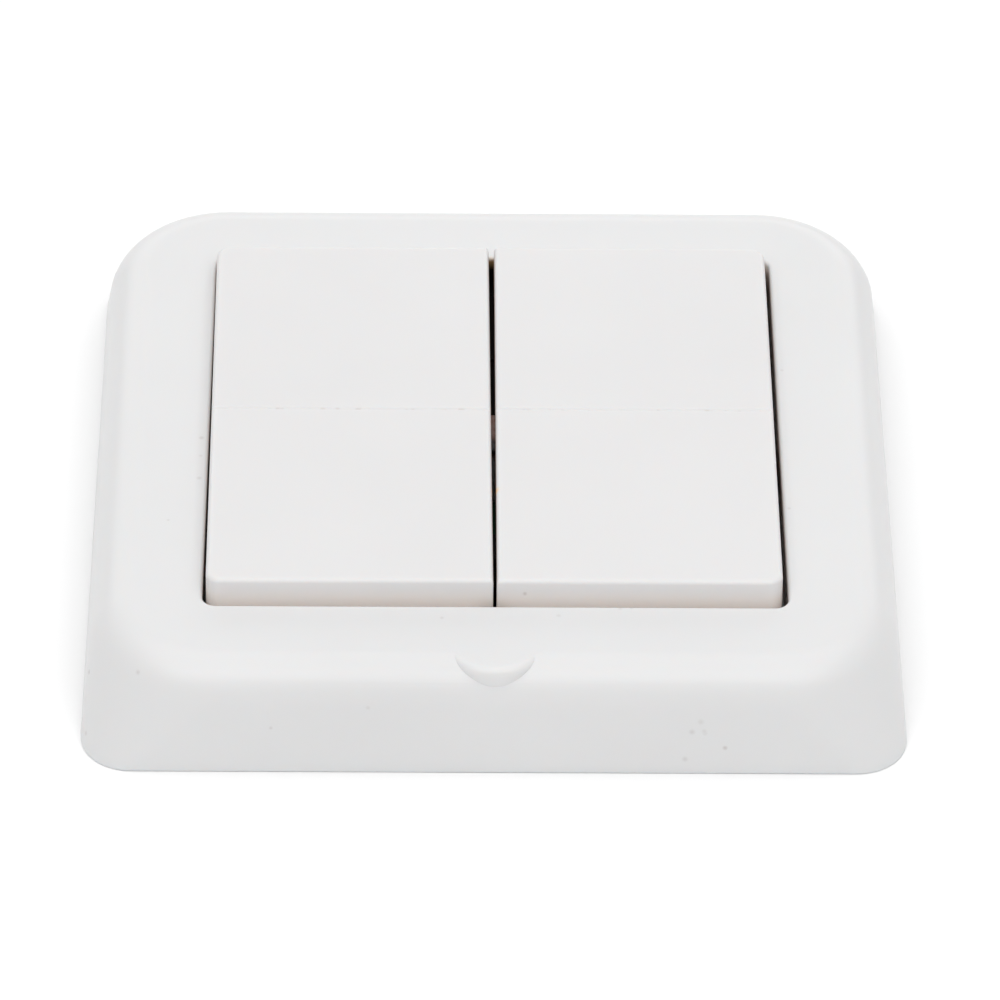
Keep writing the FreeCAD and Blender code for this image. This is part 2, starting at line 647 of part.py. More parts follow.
def battery_clip():
    """The upper contact: a foot on the board, an upright in the holder's slot and an arm on the cell."""
    back = CELL_Y + HOLDER_R - CLIP_BACK
    front = back - CLIP_T
    foot = CELL_Y + HOLDER_LEDGE_HALF + CLIP_FOOT_FIT
    arm = CELL_Y
    points = [(foot, DECK_Z), (back, DECK_Z), (back, CELL_TOP + CLIP_T), (arm, CELL_TOP + CLIP_T)]
    points += [(arm, CELL_TOP), (front, CELL_TOP), (front, DECK_Z + CLIP_T), (foot, DECK_Z + CLIP_T)]
    return profile_along_x(points, -CLIP_W / 2, CLIP_W / 2)


def battery_contact():
    """The lower contact: a flat strip with a raised tongue under the cell's cap."""
    flat = TONGUE_HALF + CONTACT_RISE
    top = CELL_Z - CONTACT_T
    right = [(TONGUE_HALF, top), (flat, DECK_Z), (CONTACT_HALF, DECK_Z)]
    line = [(-y, z) for y, z in reversed(right)] + right
    upper = [(y, z + CONTACT_T) for y, z in reversed(line)]
    return profile_along_x([(CELL_Y + y, z) for y, z in line + upper], -CONTACT_W / 2, CONTACT_W / 2)


# Parts on the board
def encoder_chip():
    low = DECK_Z + CHIP_STAND
    high = low + CHIP_H
    chip = block(CHIP_X, CHIP_Y, CHIP_L / 2, CHIP_W / 2, low, high)
    chip = chip.makeChamfer(CHIP_EDGE, edges_at(chip, high))
    dimple_x = CHIP_X - CHIP_L / 2 + DIMPLE_IN
    dimple_y = CHIP_Y - CHIP_W / 2 + DIMPLE_IN
    return chip.cut(post(DIMPLE_R, high - DIMPLE_D, high, dimple_x, dimple_y))


def encoder_leads():
    leads = []
    inner = CHIP_W / 2
    high = DECK_Z + CHIP_STAND + CHIP_H / 2
    outer = inner + CHIP_LEAD_REACH
    points = [(inner, DECK_Z), (outer, DECK_Z), (outer, DECK_Z + CHIP_LEAD_T)]
    points += [(inner + CHIP_LEAD_T, DECK_Z + CHIP_LEAD_T), (inner + CHIP_LEAD_T, high), (inner, high)]
    for end in (-1, 1):
        for count in range(CHIP_LEADS):
            x = CHIP_X + (count - (CHIP_LEADS - 1) / 2) * CHIP_PITCH
            lead = profile_along_x([(end * y, z) for y, z in points], -CHIP_LEAD_W / 2, CHIP_LEAD_W / 2)
            lead.translate(Vector(x, CHIP_Y, 0))
            leads.append(lead)
    return Part.makeCompound(leads)


def resonator_can():
    flange = stadium(CAN_L, CAN_W, DECK_Z, DECK_Z + CAN_FLANGE)
    can = stadium(CAN_L - 2 * CAN_FLANGE, CAN_W - 2 * CAN_FLANGE, DECK_Z, DECK_Z + CAN_H)
    whole = fuse([flange, can])
    whole.translate(Vector(CAN_X, CAN_Y, 0))
    return whole


def output_transistor():
    top = DECK_Z + TRANSISTOR_H
    body = block(0, 0, TRANSISTOR_L / 2, TRANSISTOR_W / 2, DECK_Z + TRANSISTOR_STAND, top)
    body = body.makeChamfer(TRANSISTOR_EDGE, edges_at(body, top))
    legs = []
    for x, end in ((-LEG_X, -1), (LEG_X, -1), (0.0, 1)):
        low, high = sorted((end * TRANSISTOR_W / 4, end * (TRANSISTOR_W / 2 + LEG_REACH)))
        legs.append(box(x - LEG_W / 2, x + LEG_W / 2, low, high, DECK_Z, DECK_Z + LEG_T))
    whole = fuse([body] + legs)
    whole.translate(Vector(TRANSISTOR_X, TRANSISTOR_Y, 0))
    return whole


def antenna_loop():
    """A staple of round wire along the board's lower edge, with both feet on the board."""
    ends = [(-WIRE_HALF, DECK_Z), (-WIRE_HALF, WIRE_TOP), (WIRE_HALF, WIRE_TOP), (WIRE_HALF, DECK_Z)]
    path = Part.makePolygon([Vector(x, WIRE_Y, z) for x, z in ends])
    section = Part.Wire([Part.makeCircle(WIRE_R, Vector(-WIRE_HALF, WIRE_Y, DECK_Z), Vector(0, 0, 1))])
    return path.makePipeShell([section], True, False, 1)


def chip_group(places, height):
    """Small surface mounted parts of one height, laid along X."""
    top = DECK_Z + height
    return Part.makeCompound([block(x, y, CAPACITOR_L / 2, CAPACITOR_W / 2, DECK_Z, top) for x, y in places])


def chip_places(side_places, inner_places, upper_side):
    """Places beside the switches and between them, given from the board's lower edge, and an upper one."""
    row = BOARD_HALF - CHIP_ROW_IN
    places = [(-upper_side * row, y - BOARD_HALF) for y in side_places]
    places += [(x, y - BOARD_HALF) for x, y in inner_places]
    return places + [(upper_side * row, BOARD_HALF - UPPER_CHIP_IN)]


def build():
    parts = {
        "frame_cover": frame_cover(),
        "wall_plate": wall_plate(),
        "chassis": chassis(),
        "circuit_board": circuit_board(),
        "board_screws": board_screws(),
        "switch_leads": switch_leads(),
        "coin_cell": coin_cell(),
        "battery_holder": battery_holder(),
        "battery_clip": battery_clip(),
        "battery_contact": battery_contact(),
        "encoder_chip": encoder_chip(),
        "encoder_leads": encoder_leads(),
        "resonator_can": resonator_can(),
        "output_transistor": output_transistor(),
        "antenna_loop": antenna_loop(),
        "chip_capacitors": chip_group(chip_places(CAPACITOR_SIDE, CAPACITOR_INNER, 1), CAPACITOR_H),
        "chip_resistors": chip_group(chip_places(RESISTOR_SIDE, RESISTOR_INNER, -1), RESISTOR_H),
    }
    right = rocker_right()
    parts["rocker_right"] = right
    parts["rocker_left"] = mirror_x(right)
    for side_name, side in SIDES.items():
        parts["leaf_spring_" + side_name] = leaf_spring(side * SWITCH_X)
        for end_name, end in ENDS.items():
            name = side_name + "_" + end_name
            x = side * SWITCH_X
            y = end * SWITCH_Y
            parts["switch_case_" + name] = switch_case(x, y)
            parts["switch_shield_" + name] = switch_shield(x, y)
            parts["plunger_" + name] = plunger(x, y)
    return parts


os.makedirs("parts", exist_ok=True)
for node, shape in build().items():
    shape.exportStep(os.path.join("parts", node + ".step"))
    print(node, "valid", shape.isValid(), "solids", len(shape.Solids), "volume", round(shape.Volume, 2))
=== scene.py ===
"""Two gang wall switch on its back: fine shapes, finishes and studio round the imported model."""

import math

import bmesh
import bpy
from bpy.props import FloatProperty, FloatVectorProperty, IntProperty, PointerProperty
from bpy.types import Operator, Panel, PropertyGroup
from mathutils import Matrix, Vector


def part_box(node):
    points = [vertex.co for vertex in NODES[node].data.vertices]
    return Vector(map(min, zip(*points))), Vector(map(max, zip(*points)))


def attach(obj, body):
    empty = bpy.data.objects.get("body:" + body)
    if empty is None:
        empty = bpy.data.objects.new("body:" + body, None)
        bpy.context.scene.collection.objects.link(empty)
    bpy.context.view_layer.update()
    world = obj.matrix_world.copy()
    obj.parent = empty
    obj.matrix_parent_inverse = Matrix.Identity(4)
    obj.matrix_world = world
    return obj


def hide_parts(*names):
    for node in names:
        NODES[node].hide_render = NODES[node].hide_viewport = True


bl_info = {
    "name": "Wall switch dresser",
    "version": (1, 0, 0),
    "blender": (4, 5, 0),
    "location": "3D View > Sidebar > Wall switch",
    "description": "Builds the shown shapes, finishes and studio of a two gang wall switch",
    "category": "Object",
}

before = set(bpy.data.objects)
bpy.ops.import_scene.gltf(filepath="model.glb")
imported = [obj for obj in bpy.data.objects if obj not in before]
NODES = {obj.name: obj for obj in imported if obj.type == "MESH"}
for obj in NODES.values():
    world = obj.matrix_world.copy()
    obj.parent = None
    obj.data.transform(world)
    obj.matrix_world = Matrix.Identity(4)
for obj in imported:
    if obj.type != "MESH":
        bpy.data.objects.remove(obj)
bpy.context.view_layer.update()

# Dirt specks of the real switch: x, y, z and radius in millimetres, and how strong each is
COVER_SPECKS = [
    (-39.15, -31.72, 5.6, 0.20, 0.55), (-34.2, -36.15, 9.25, 0.20, 0.3),
    (-39.4, -35.95, 1.45, 0.2, 0.3), (-21.45, -39.42, 5.1, 0.16, 0.3),
    (-12.14, -39.15, 7.45, 0.18, 0.2), (-31.9, -15.3, 11.4, 0.14, 0.25),
    (19.75, -39.32, 6.0, 0.26, 0.2), (18.92, -39.45, 4.85, 0.24, 0.3),
    (20.1, -39.43, 4.95, 0.2, 0.2), (20.2, -39.46, 4.7, 0.2, 0.16),
    (22.14, -39.66, 3.05, 0.2, 0.5), (18.32, -39.8, 1.75, 0.24, 0.3),
    (-5.1, -30.3, 11.4, 0.17, 0.25), (6.15, -29.9, 11.4, 0.2, 0.2),
    (-29.0, -2.1, 11.4, 0.22, 0.35), (-29.0, -5.0, 11.4, 0.16, 0.25),
    (-29.05, -8.6, 11.4, 0.22, 0.3), (29.1, 9.5, 11.4, 0.16, 0.22),
    (29.0, -13.0, 11.4, 0.16, 0.25), (12.1, -28.75, 11.35, 0.2, 0.25),
    (13.2, -28.7, 11.35, 0.16, 0.25),
]
ROCKER_SPECKS = [
    (2.9, -27.5, 12.2, 0.17, 0.5), (11.9, -27.9, 11.3, 0.13, 0.35),
    (13.4, -27.9, 11.3, 0.12, 0.4),
]
# A crumb caught at the centre gap's edge, in the same terms
GAP_FIBRE = (0.2, -12.9, 13.15, 0.4, 1.5)

COVER_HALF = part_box("frame_cover")[1].x
COVER_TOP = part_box("frame_cover")[1].z
ROCKER_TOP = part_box("rocker_right")[1].z
ROCKER_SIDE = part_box("rocker_right")[1].x
ROCKER_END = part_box("rocker_right")[1].y
PILLAR_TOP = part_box("chassis")[1].z

MM = 0.001
RIGHT_ANGLE = math.pi / 2
SQRT2 = math.sqrt(2)
SIDES = ("left", "right")
ENDS = ("upper", "lower")
SWITCHES = [side + "_" + end for side in SIDES for end in ENDS]
CORNERS = [(x, y) for x in (-1, 1) for y in (-1, 1)]

# How finely the round shapes are divided
FOOT_STEPS = 3
SIDE_STEPS = 6
TOP_STEPS = 18
LIP_STEPS = 5
ROCKER_EDGE_STEPS = 8
GROOVE_STEPS = 12
BOSS_SEGMENTS = 96
BOSS_ROUND_STEPS = 5
PIN_SEGMENTS = 48

WELD = 0.0005 * MM              # vertices closer than this become one
HAIR = 0.001 * MM               # keeps two faces from lying in one plane
TIGHTEST = 0.01 * MM            # the least radius of a ring's corner
SHARP_ANGLE = math.radians(32)  # faces that meet at more than this keep a clean edge
EVEN_WEIGHT = 80                # how much large faces steer the smooth normals

# The moulded plastics' surface
CLOUD_SIZE = 22 * MM
CLOUD_SHARE = 0.024             # how far the clouding darkens or lightens the colour
RUB_SIZE = 6 * MM
RUB_SHARE = 0.08                # how far the roughness varies in all
GRAIN_STRENGTH = 0.6
PLASTIC_IOR = 1.49
GLOW_RADIUS = (1.0, 0.7, 0.55)

# A dirt speck's edge, in shares of its radius
SPECK_CORE = 0.3
SPECK_REACH = 1.9
SPECK_RAGGED = 0.3
SPECK_RAGGED_SIZE = 0.2 * MM
SPECK_STRENGTH = 0.6

# The metals', the board's and the small parts' surface
STREAK_SIZE = 0.25 * MM
STREAK_STRETCH = (0.05, 1.0, 1.0)
TARNISH_SIZE = 3 * MM
# Roughness of the metals where painted shade lies below the centre gap
GAP_SHADE_ROUGHNESS = 0.8
WEAVE_PITCH = 0.6 * MM
FIRED_SPECK_SIZE = 0.12 * MM
DULLED = 0.8                    # the darkest that a metal or fired part's colour gets

# The studio: each lamp's place and its width and depth in metres. The stage settings hold its
# power.
LAMPS = {
    "softbox": ((0.0, -0.10, 1.10), (1.8, 1.6)),
    "front": ((0.0, -0.68, 0.87), (1.6, 0.6)),
    "rear": ((0.0, 1.03, 0.38), (1.6, 0.4)),
}
FLOOR_HALF = 3.0
FLOOR_CELLS = 8
SENSOR_WIDTH = 36.0             # of the camera, in millimetres


def length(name, description, millimetres):
    """A size setting, given in millimetres and kept in metres."""
    return FloatProperty(
        name=name, description=description, default=millimetres * MM,
        min=0.0, unit="LENGTH", precision=5,
    )


def tint(name, description, colour):
    """A linear colour setting."""
    return FloatVectorProperty(
        name=name, description=description, default=colour,
        min=0.0, max=1.0, size=3, subtype="COLOR",
    )


def amount(name, description, value):
    """A plain number setting, such as degrees or watts."""
    return FloatProperty(name=name, description=description, default=value)


def portion(name, description, value):
    """A share between 0 and 1 as a setting."""
    return FloatProperty(
        name=name, description=description, default=value, min=0.0, max=1.0, subtype="FACTOR"
    )


class CoverSizes(PropertyGroup):
    """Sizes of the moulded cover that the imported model's box doesn't give."""

    side_inset: length("Side inset", "How far the sides lean in over the whole height", 1.3)
    base_corner: length("Base corner", "Plan radius of the corners at the wall", 5.0)
    top_corner: length("Top corner", "Plan radius that the corners grow to at the top", 14.4)
    edge_round: length("Edge round", "Round between the sides and the top", 4.4)
    wall: length("Wall", "Thickness of the moulded wall", 2.0)
    foot_round: length("Foot round", "Small round where the sides meet the wall", 0.25)
    side_gap: length("Side gap", "Gap from a rocker to the opening's side", 0.5)
    left_in: length("Left in", "How far the opening's left side stands inwards", 0.15)
    opening_corner: length("Opening corner", "Corner radius of the opening", 1.4)
    lip_round: length("Lip round", "Soft edge round the opening's rim", 0.35)
    collar_wall: length("Collar wall", "Wall that hangs down round the opening", 1.6)
    collar_foot: length("Collar foot", "Height of the collar's lower end", 5.2)
    low_corner_top: length("Low corner top", "Height where the cavity's corners start to grow", 4.8)
    boss_radius: length("Boss radius", "Radius of the bare round boss", 5.1)
    boss_in: length("Boss in", "From the side of the top to the boss's middle", 5.4)
    boss_round: length("Boss round", "Soft edge round the boss's top", 0.9)
    rib_wall: length("Rib wall", "Thickness of the ribs under the top", 1.2)
    rib_foot: length("Rib foot", "Height of the ribs' lower edge", 6.6)
    rib_place: length("Rib place", "From the middle of a side to a rib", 9.0)
    ledge_place: length("Ledge place", "From the middle of a side to a hook's ledge", 18.0)
    ledge_length: length("Ledge length", "Length of a hook's ledge", 10.0)
    ledge_height: length("Ledge height", "Height of a ledge's lower face", 3.4)
    ledge_wall: length("Ledge wall", "Thickness of a hook's ledge", 1.0)
    ledge_depth: length("Ledge depth", "How far a ledge stands out of the wall", 0.9)


class RockerSizes(PropertyGroup):
    """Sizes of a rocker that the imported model's boxes don't give."""

    outer_corner: length("Outer corner", "Plan radius of the corners at the side gap", 1.4)
    inner_corner: length("Inner corner", "Plan radius of the corners at the centre gap", 0.25)
    edge_round: length("Edge round", "Round between the top and the walls", 0.5)
    foot: length("Foot", "Height of the walls' lower edge", 9.6)
    inner_foot: length("Inner foot", "Foot beside the centre gap, higher to clear the cell", 10.3)
    foot_bevel: length("Foot bevel", "Small bevel at the walls' lower edge", 0.12)
    end_flare: length("End flare", "How far the end walls lean out towards their feet", 0.7)
    wall: length("Wall", "Thickness of the walls", 1.5)
    skin: length("Skin", "Thickness of the top", 1.6)
    groove_half: length("Groove half", "Half width of the groove across the top", 0.27)
    groove_depth: length("Groove depth", "Depth of that groove", 0.2)
    rib_wall: length("Rib wall", "Thickness of the ribs under the top", 1.0)
    rib_height: length("Rib height", "How far the ribs stand down", 1.4)
    rib_place: length("Rib place", "From the middle to a cross rib", 9.0)
    post_half: length("Post half", "Half width of a cross shaped post", 1.8)
    post_play: length("Post play", "From a post's end to the leaf spring", 0.04)
    pivot: length("Pivot", "Height of the pivot line", 8.9)
    pin_radius: length("Pin radius", "Radius of the pivot pins", 1.0)
    pin_start: length("Pin start", "From the middle to the inner pin's end", 0.35)
    pin_rib: length("Pin rib", "Thickness of the rib that carries the inner pin", 1.4)
    outer_pin: length("Outer pin", "From the middle to the outer pin's end", 22.7)
    bearing: length("Bearing", "Half length of the pillar and the lugs", 3.0)
    pillar_half: length("Pillar half", "Half width of the pillar between the rockers", 1.6)
    running_gap: length("Running gap", "Room round the pillar", 0.5)
    askew: amount("Askew", "Turn of the left cap in its play, degrees", 0.24)
    outreach: length("Outreach", "How much wider the left cap is at its side gap", 0.11)
    right_shift: length("Right shift", "How far the right cap lies to the left", 0.08)


class PlasticLook(PropertyGroup):
    """Colours and surface of the moulded plastics."""

    cover_colour: tint("Cover", "Colour of the cover", (0.730, 0.730, 0.732))
    rocker_colour: tint("Rockers", "Colour of the rockers, a little warmer", (0.730, 0.724, 0.725))
    chassis_colour: tint("Chassis", "Colour of the inner tub", (0.66, 0.65, 0.63))
    # Painted shade with the reddish cast of light bounced in the centre gap, for the pillar's top
    pillar_shade_colour: tint("Stain", "Reddish dust on the pillar in the centre gap", (0.50, 0.26, 0.20))
    plate_colour: tint("Plate", "Colour of the wall plate", (0.70, 0.70, 0.69))
    holder_colour: tint("Holder", "Colour of the battery holder", (0.03, 0.03, 0.032))
    case_colour: tint("Cases", "Colour of the push switches' cases", (0.045, 0.045, 0.045))
    plunger_colour: tint("Plungers", "Colour of the plungers", (0.06, 0.055, 0.05))
    grime_colour: tint("Grime", "Dust that has settled in gaps and pits", (0.20, 0.115, 0.07))
    # Painted shade: near black, for what lies straight below the centre gap
    gap_shade_colour: tint("Dust", "Dust fallen through the centre gap", (0.008, 0.004, 0.003))
    # Painted shade: the brown step between the walls' warmer tone and that near black
    brown_colour: tint("Brown", "Between warm wall and dust by the centre gap", (0.30, 0.20, 0.09))
    # Painted shade: a warmer, darker tone for the walls down in the opening and the rockers' lower
    # walls
    recess_shade_colour: tint("Foot", "Warm cast of the walls down in the opening", (0.80, 0.74, 0.70))
    edge_grime: tint("Edge grime", "Brown grime on the edges beside the gaps", (0.34, 0.19, 0.11))
    speck_colour: tint("Specks", "Small dirt specks on the plastic", (0.24, 0.165, 0.14))
    fibre_colour: tint("Fibre", "A crumb caught at the centre gap's edge", (0.95, 0.60, 0.28))
    roughness: portion("Roughness", "Satin of the cover and most mouldings", 0.34)
    rocker_extra: portion("Rocker extra", "How much rougher the rockers are", 0.02)
    plate_roughness: portion("Plate roughness", "Satin of the wall plate", 0.5)
    plunger_roughness: portion("Plunger roughness", "Satin of the plungers", 0.35)
    glow: portion("Glow", "Share of light that spreads inside the plastic", 0.3)
    glow_reach: length("Glow reach", "How far that light spreads", 1.5)
    grain: length("Grain", "Size of the mould's fine spark texture", 0.25)
    grain_depth: length("Grain depth", "Height of that texture", 0.001)


class StageLook(PropertyGroup):
    """Camera, lights and floor."""

    yaw: amount("Yaw", "Turn of the camera round the switch, degrees", -0.78)
    elevation: amount("Elevation", "Camera above the horizon, degrees", 38.11)
    roll: amount("Roll", "Roll of the camera, degrees", -0.75)
    distance: length("Distance", "From the camera to the middle of the back", 722.6)
    aside: length("Aside", "How far the camera stands to the right", 0.78)
    above: length("Above", "How far the camera stands above its line", 1.63)
    lens: amount("Lens", "Focal length on a 36 mm sensor, millimetres", 258.6)
    world: amount("World", "Strength of the light from all round", 0.47)
    softbox: amount("Softbox", "Power of the light overhead, watts", 10.0)
    front: amount("Front", "Power of the wide light over the camera, watts", 3.0)
    rear: amount("Rear", "Power of the low light behind the switch, watts", 2.6)
    floor_colour: tint("Floor", "Colour of the floor", (0.955, 0.955, 0.955))
    ring_steps: IntProperty(
        name="Ring steps", description="Steps round each corner of the cover", default=16, min=4
    )


class Value:
    """A number that changes over a surface. Arithmetic on it adds Math nodes."""

    def __init__(self, finish, socket):
        self.finish = finish
        self.socket = socket

    def maths(self, operation, *others):
        """This value and up to two others through a Math node."""
        return self.finish.sum_up(operation, self, *others)

    def __add__(self, other):
        return self.maths("ADD", other)

    def __radd__(self, other):
        return self.finish.sum_up("ADD", other, self)

    def __sub__(self, other):
        return self.maths("SUBTRACT", other)

    def __rsub__(self, other):
        return self.finish.sum_up("SUBTRACT", other, self)

    def __mul__(self, other):
        return self.maths("MULTIPLY", other)

    def __rmul__(self, other):
        return self.finish.sum_up("MULTIPLY", other, self)

    def __truediv__(self, other):
        return self.maths("DIVIDE", other)

    def __abs__(self):
        return self.maths("ABSOLUTE")

    def smooth(self, low, high):
        """0 below low, 1 above high, and a soft step between. Low may be above high."""
        return self.finish.add(
            "ShaderNodeMapRange",
            {"interpolation_type": "SMOOTHSTEP"},
            {"Value": self, "From Min": low, "From Max": high},
        )


class Finish:
    """One material and its node tree."""

    def __init__(self, name):
        self.material = bpy.data.materials.new(name)
        self.material.use_nodes = True
        self.tree = self.material.node_tree
        self.shader = self.tree.nodes["Principled BSDF"]
        self.place = self.add("ShaderNodeTexCoord", {}, {}, "Object")

    def add(self, kind, settings, inputs, output=0):
        """Adds a node: its settings first, then the values or links of its sockets."""
        node = self.tree.nodes.new(kind)
        for key, value in settings.items():
            if key == "stops":
                self.set_stops(node.color_ramp, value)
            else:
                setattr(node, key, value)
        for key, value in inputs.items():
            self.feed(self.socket(node.inputs, key), value)
        return Value(self, self.socket(node.outputs, output))

    def sum_up(self, operation, *values):
        """Numbers and values through one Math node."""
        return self.add("ShaderNodeMath", {"operation": operation}, dict(enumerate(values)))

    @staticmethod
    def set_stops(ramp, stops):
        while len(ramp.elements) < len(stops):
            ramp.elements.new(1.0)
        for element, (position, colour) in zip(ramp.elements, stops):
            element.position = position
            element.color = colour

    @staticmethod
    def socket(sockets, key):
        """A socket by its number, its identifier or its name."""
        if isinstance(key, int):
            return sockets[key]
        for socket in sockets:
            if socket.identifier == key:
                return socket
        return sockets[key]

    def feed(self, socket, value):
        if isinstance(value, Value):
            self.tree.links.new(value.socket, socket)
        elif socket.type == "RGBA":
            socket.default_value = (*value, 1.0)
        else:
            socket.default_value = value

    def set(self, **values):
        """Sets or links the shader's own sockets. Underscores stand for spaces in their names."""
        for key, value in values.items():
            self.feed(self.shader.inputs[key.replace("_", " ")], value)

    def axis(self, name):
        """X, Y or Z of the place on the switch, in metres."""
        return self.add("ShaderNodeSeparateXYZ", {}, {"Vector": self.place}, name)

    def noise(self, size, detail=2.0, distortion=0.0, place=None):
        """Cloudy noise between 0 and 1, with features of about one size in metres."""
        inputs = {"Vector": place or self.place, "Scale": 1.0 / size}
        inputs.update({"Detail": detail, "Distortion": distortion})
        return self.add("ShaderNodeTexNoise", {}, inputs, "Fac")

    def blend(self, share, low, high):
        """A colour between two others."""
        inputs = {"Factor_Float": share, "A_Color": low, "B_Color": high}
        return self.add("ShaderNodeMix", {"data_type": "RGBA"}, inputs, "Result_Color")

    def bump(self, height, depth, strength):
        """A normal from a height between 0 and 1 that stands for a depth in metres."""
        inputs = {"Height": height, "Distance": depth, "Strength": strength}
        return self.add("ShaderNodeBump", {}, inputs, "Normal")

    def speck(self, x, y, z, radius, strength):
        """A small ragged spot at one place, given in millimetres."""
        inputs = {0: self.place, 1: (x * MM, y * MM, z * MM)}
        away = self.add("ShaderNodeVectorMath", {"operation": "DISTANCE"}, inputs, "Value")
        ragged = away + SPECK_RAGGED * radius * MM * self.noise(SPECK_RAGGED_SIZE)
        edge = ragged.smooth(SPECK_REACH * radius * MM, SPECK_CORE * radius * MM)
        return SPECK_STRENGTH * strength * edge

    def specks(self, places):
        """All spots of a table together."""
        marks = self.speck(*places[0])
        for place in places[1:]:
            marks = marks.maths("MAXIMUM", self.speck(*place))
        return marks


def moulded(name, colour, look, roughness=None):
    """Satin moulded plastic: fine spark texture, faint clouding and uneven gloss."""
    finish = Finish(name)
    satin = look.roughness if roughness is None else roughness
    grain = finish.noise(look.grain)
    clouds = finish.noise(CLOUD_SIZE)
    rubbed = finish.noise(RUB_SIZE)
    darker = tuple(c * (1 - CLOUD_SHARE) for c in colour)
    lighter = tuple(min(1.0, c * (1 + CLOUD_SHARE)) for c in colour)
    finish.base = finish.blend(clouds, darker, lighter)
    finish.set(
        Base_Color=finish.base,
        Roughness=satin + RUB_SHARE * (rubbed - 0.5),
        Normal=finish.bump(grain, look.grain_depth, GRAIN_STRENGTH),
        IOR=PLASTIC_IOR,
        Subsurface_Weight=look.glow,
        Subsurface_Radius=GLOW_RADIUS,
        Subsurface_Scale=look.glow_reach,
    )
    return finish


def cover_plastic(look, sizes):
    """The cover's plastic, with grime and painted shade down the opening's walls."""
    finish = moulded("cover_plastic", look.cover_colour, look)
    depth = COVER_TOP - finish.axis("Z")
    aside = abs(finish.axis("X"))
    inner = opening_half(sizes) + sizes.lip_round
    near_x = aside.smooth(inner, inner - sizes.lip_round)
    near_y = abs(finish.axis("Y")).smooth(inner, inner - sizes.lip_round)
    inside = near_x * near_y
    patches = finish.noise(3 * MM, detail=3.0, distortion=0.4).smooth(0.35, 0.65)
    # Painted shade: the walls inside the opening turn warmer and darker from 0.1 mm to 1.2 mm below
    # the top
    shaded = finish.blend(inside * depth.smooth(0.1 * MM, 1.2 * MM), finish.base, look.recess_shade_colour)
    on_sides = aside.smooth(inner - 1.2 * MM, inner - 0.8 * MM)
    grime = inside * on_sides * depth.smooth(0.3 * MM, 2.0 * MM) * (0.35 + 0.5 * patches)
    grimy = finish.blend(grime, shaded, look.grime_colour)
    # Painted shade on the opening's end walls, straight below the centre gap: warmer, then brown,
    # then near black with depth
    under = inside * aside.smooth(1.6 * MM, 0.8 * MM)
    stops = [
        (0.0, (*look.recess_shade_colour, 1)),
        (0.25, (*look.brown_colour, 1)),
        (0.7, (*look.gap_shade_colour, 1)),
    ]
    shade_depth = depth / (2.2 * MM)
    darkened = finish.add("ShaderNodeValToRGB", {"stops": stops}, {"Fac": shade_depth}, "Color")
    gap_shaded = finish.blend(under, grimy, darkened)
    finish.set(Base_Color=finish.blend(finish.specks(COVER_SPECKS), gap_shaded, look.speck_colour))
    return finish.material


def rocker_plastic(look):
    """The rockers' plastic, with brown edges beside the gaps and flecks in the grooves."""
    roughness = look.roughness + look.rocker_extra
    finish = moulded("rocker_plastic", look.rocker_colour, look, roughness)
    depth = ROCKER_TOP - finish.axis("Z")
    aside = abs(finish.axis("X"))
    # Painted shade: the rockers' walls turn warmer and darker from 0.5 mm to 2.5 mm below their top
    shaded = finish.blend(depth.smooth(0.5 * MM, 2.5 * MM), finish.base, look.recess_shade_colour)
    patches = finish.noise(1.2 * MM, detail=3.0, distortion=0.5).smooth(0.3, 0.7)
    by_centre = aside.smooth(0.9 * MM, 0.6 * MM)
    by_side = aside.smooth(ROCKER_SIDE - 0.8 * MM, ROCKER_SIDE - 0.4 * MM)
    by_gap = by_centre + 0.2 * by_side
    along = abs(finish.axis("Y"))
    between_ends = along.smooth(ROCKER_END - 0.2 * MM, ROCKER_END - 0.8 * MM)
    edge = by_gap * between_ends * depth.smooth(0.2 * MM, 0.55 * MM) * (0.5 + 0.4 * patches)
    grimy = finish.blend(edge, shaded, look.edge_grime)
    groove = depth.smooth(0.02 * MM, 0.2 * MM) * along.smooth(0.4 * MM, 0.25 * MM)
    flecks = groove * finish.noise(1.3 * MM).smooth(0.56, 0.68)
    flecked = finish.blend(0.2 * flecks, grimy, look.edge_grime)
    marked = finish.blend(finish.specks(ROCKER_SPECKS), flecked, look.speck_colour)
    fibre = finish.speck(*GAP_FIBRE)
    finish.set(Base_Color=finish.blend(fibre, marked, look.fibre_colour))
    return finish.material


def chassis_plastic(look):
    """The inner tub's plastic, with reddish painted shade on the pillar's top that goes near black
    towards its front.
    """
    finish = moulded("chassis_plastic", look.chassis_colour, look)
    under = abs(finish.axis("X")).smooth(2.2 * MM, 1.2 * MM)
    # Painted shade and bounced light: the pillar's top turns reddish where it shows in the centre
    # gap
    pillar_shade = under * finish.axis("Z").smooth(9.2 * MM, 10.4 * MM)
    patches = finish.noise(1.1 * MM, detail=3.0).smooth(0.3, 0.6)
    pillar_shaded = finish.blend(pillar_shade * (0.7 + 0.3 * patches), finish.base, look.pillar_shade_colour)
    # Painted shade: the pillar's top goes near black towards its front
    darkened = pillar_shade * finish.axis("Y").smooth(-0.6 * MM, -2.4 * MM)
    finish.set(Base_Color=finish.blend(darkened, pillar_shaded, look.gap_shade_colour))
    return finish.material


def painted_gap_shade(finish, look, colour):
    """Painted shade in a ragged line straight below the centre gap, and a colour with that painted
    shade on it.
    """
    patches = finish.noise(0.8 * MM, detail=3.0)
    line = abs(finish.axis("X")) + 0.5 * MM * (patches - 0.5)
    share = line.smooth(1.3 * MM, 0.7 * MM)
    return share, finish.blend(share, colour, look.gap_shade_colour)


def opening_half(sizes):
    """Half width of the cover's opening, which the rockers' outer sides and their gap give."""
    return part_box("rocker_right")[1].x + sizes.side_gap


def arc(start, end, steps):
    """Angles from start to end, both included."""
    return [start + (end - start) * step / steps for step in range(steps + 1)]


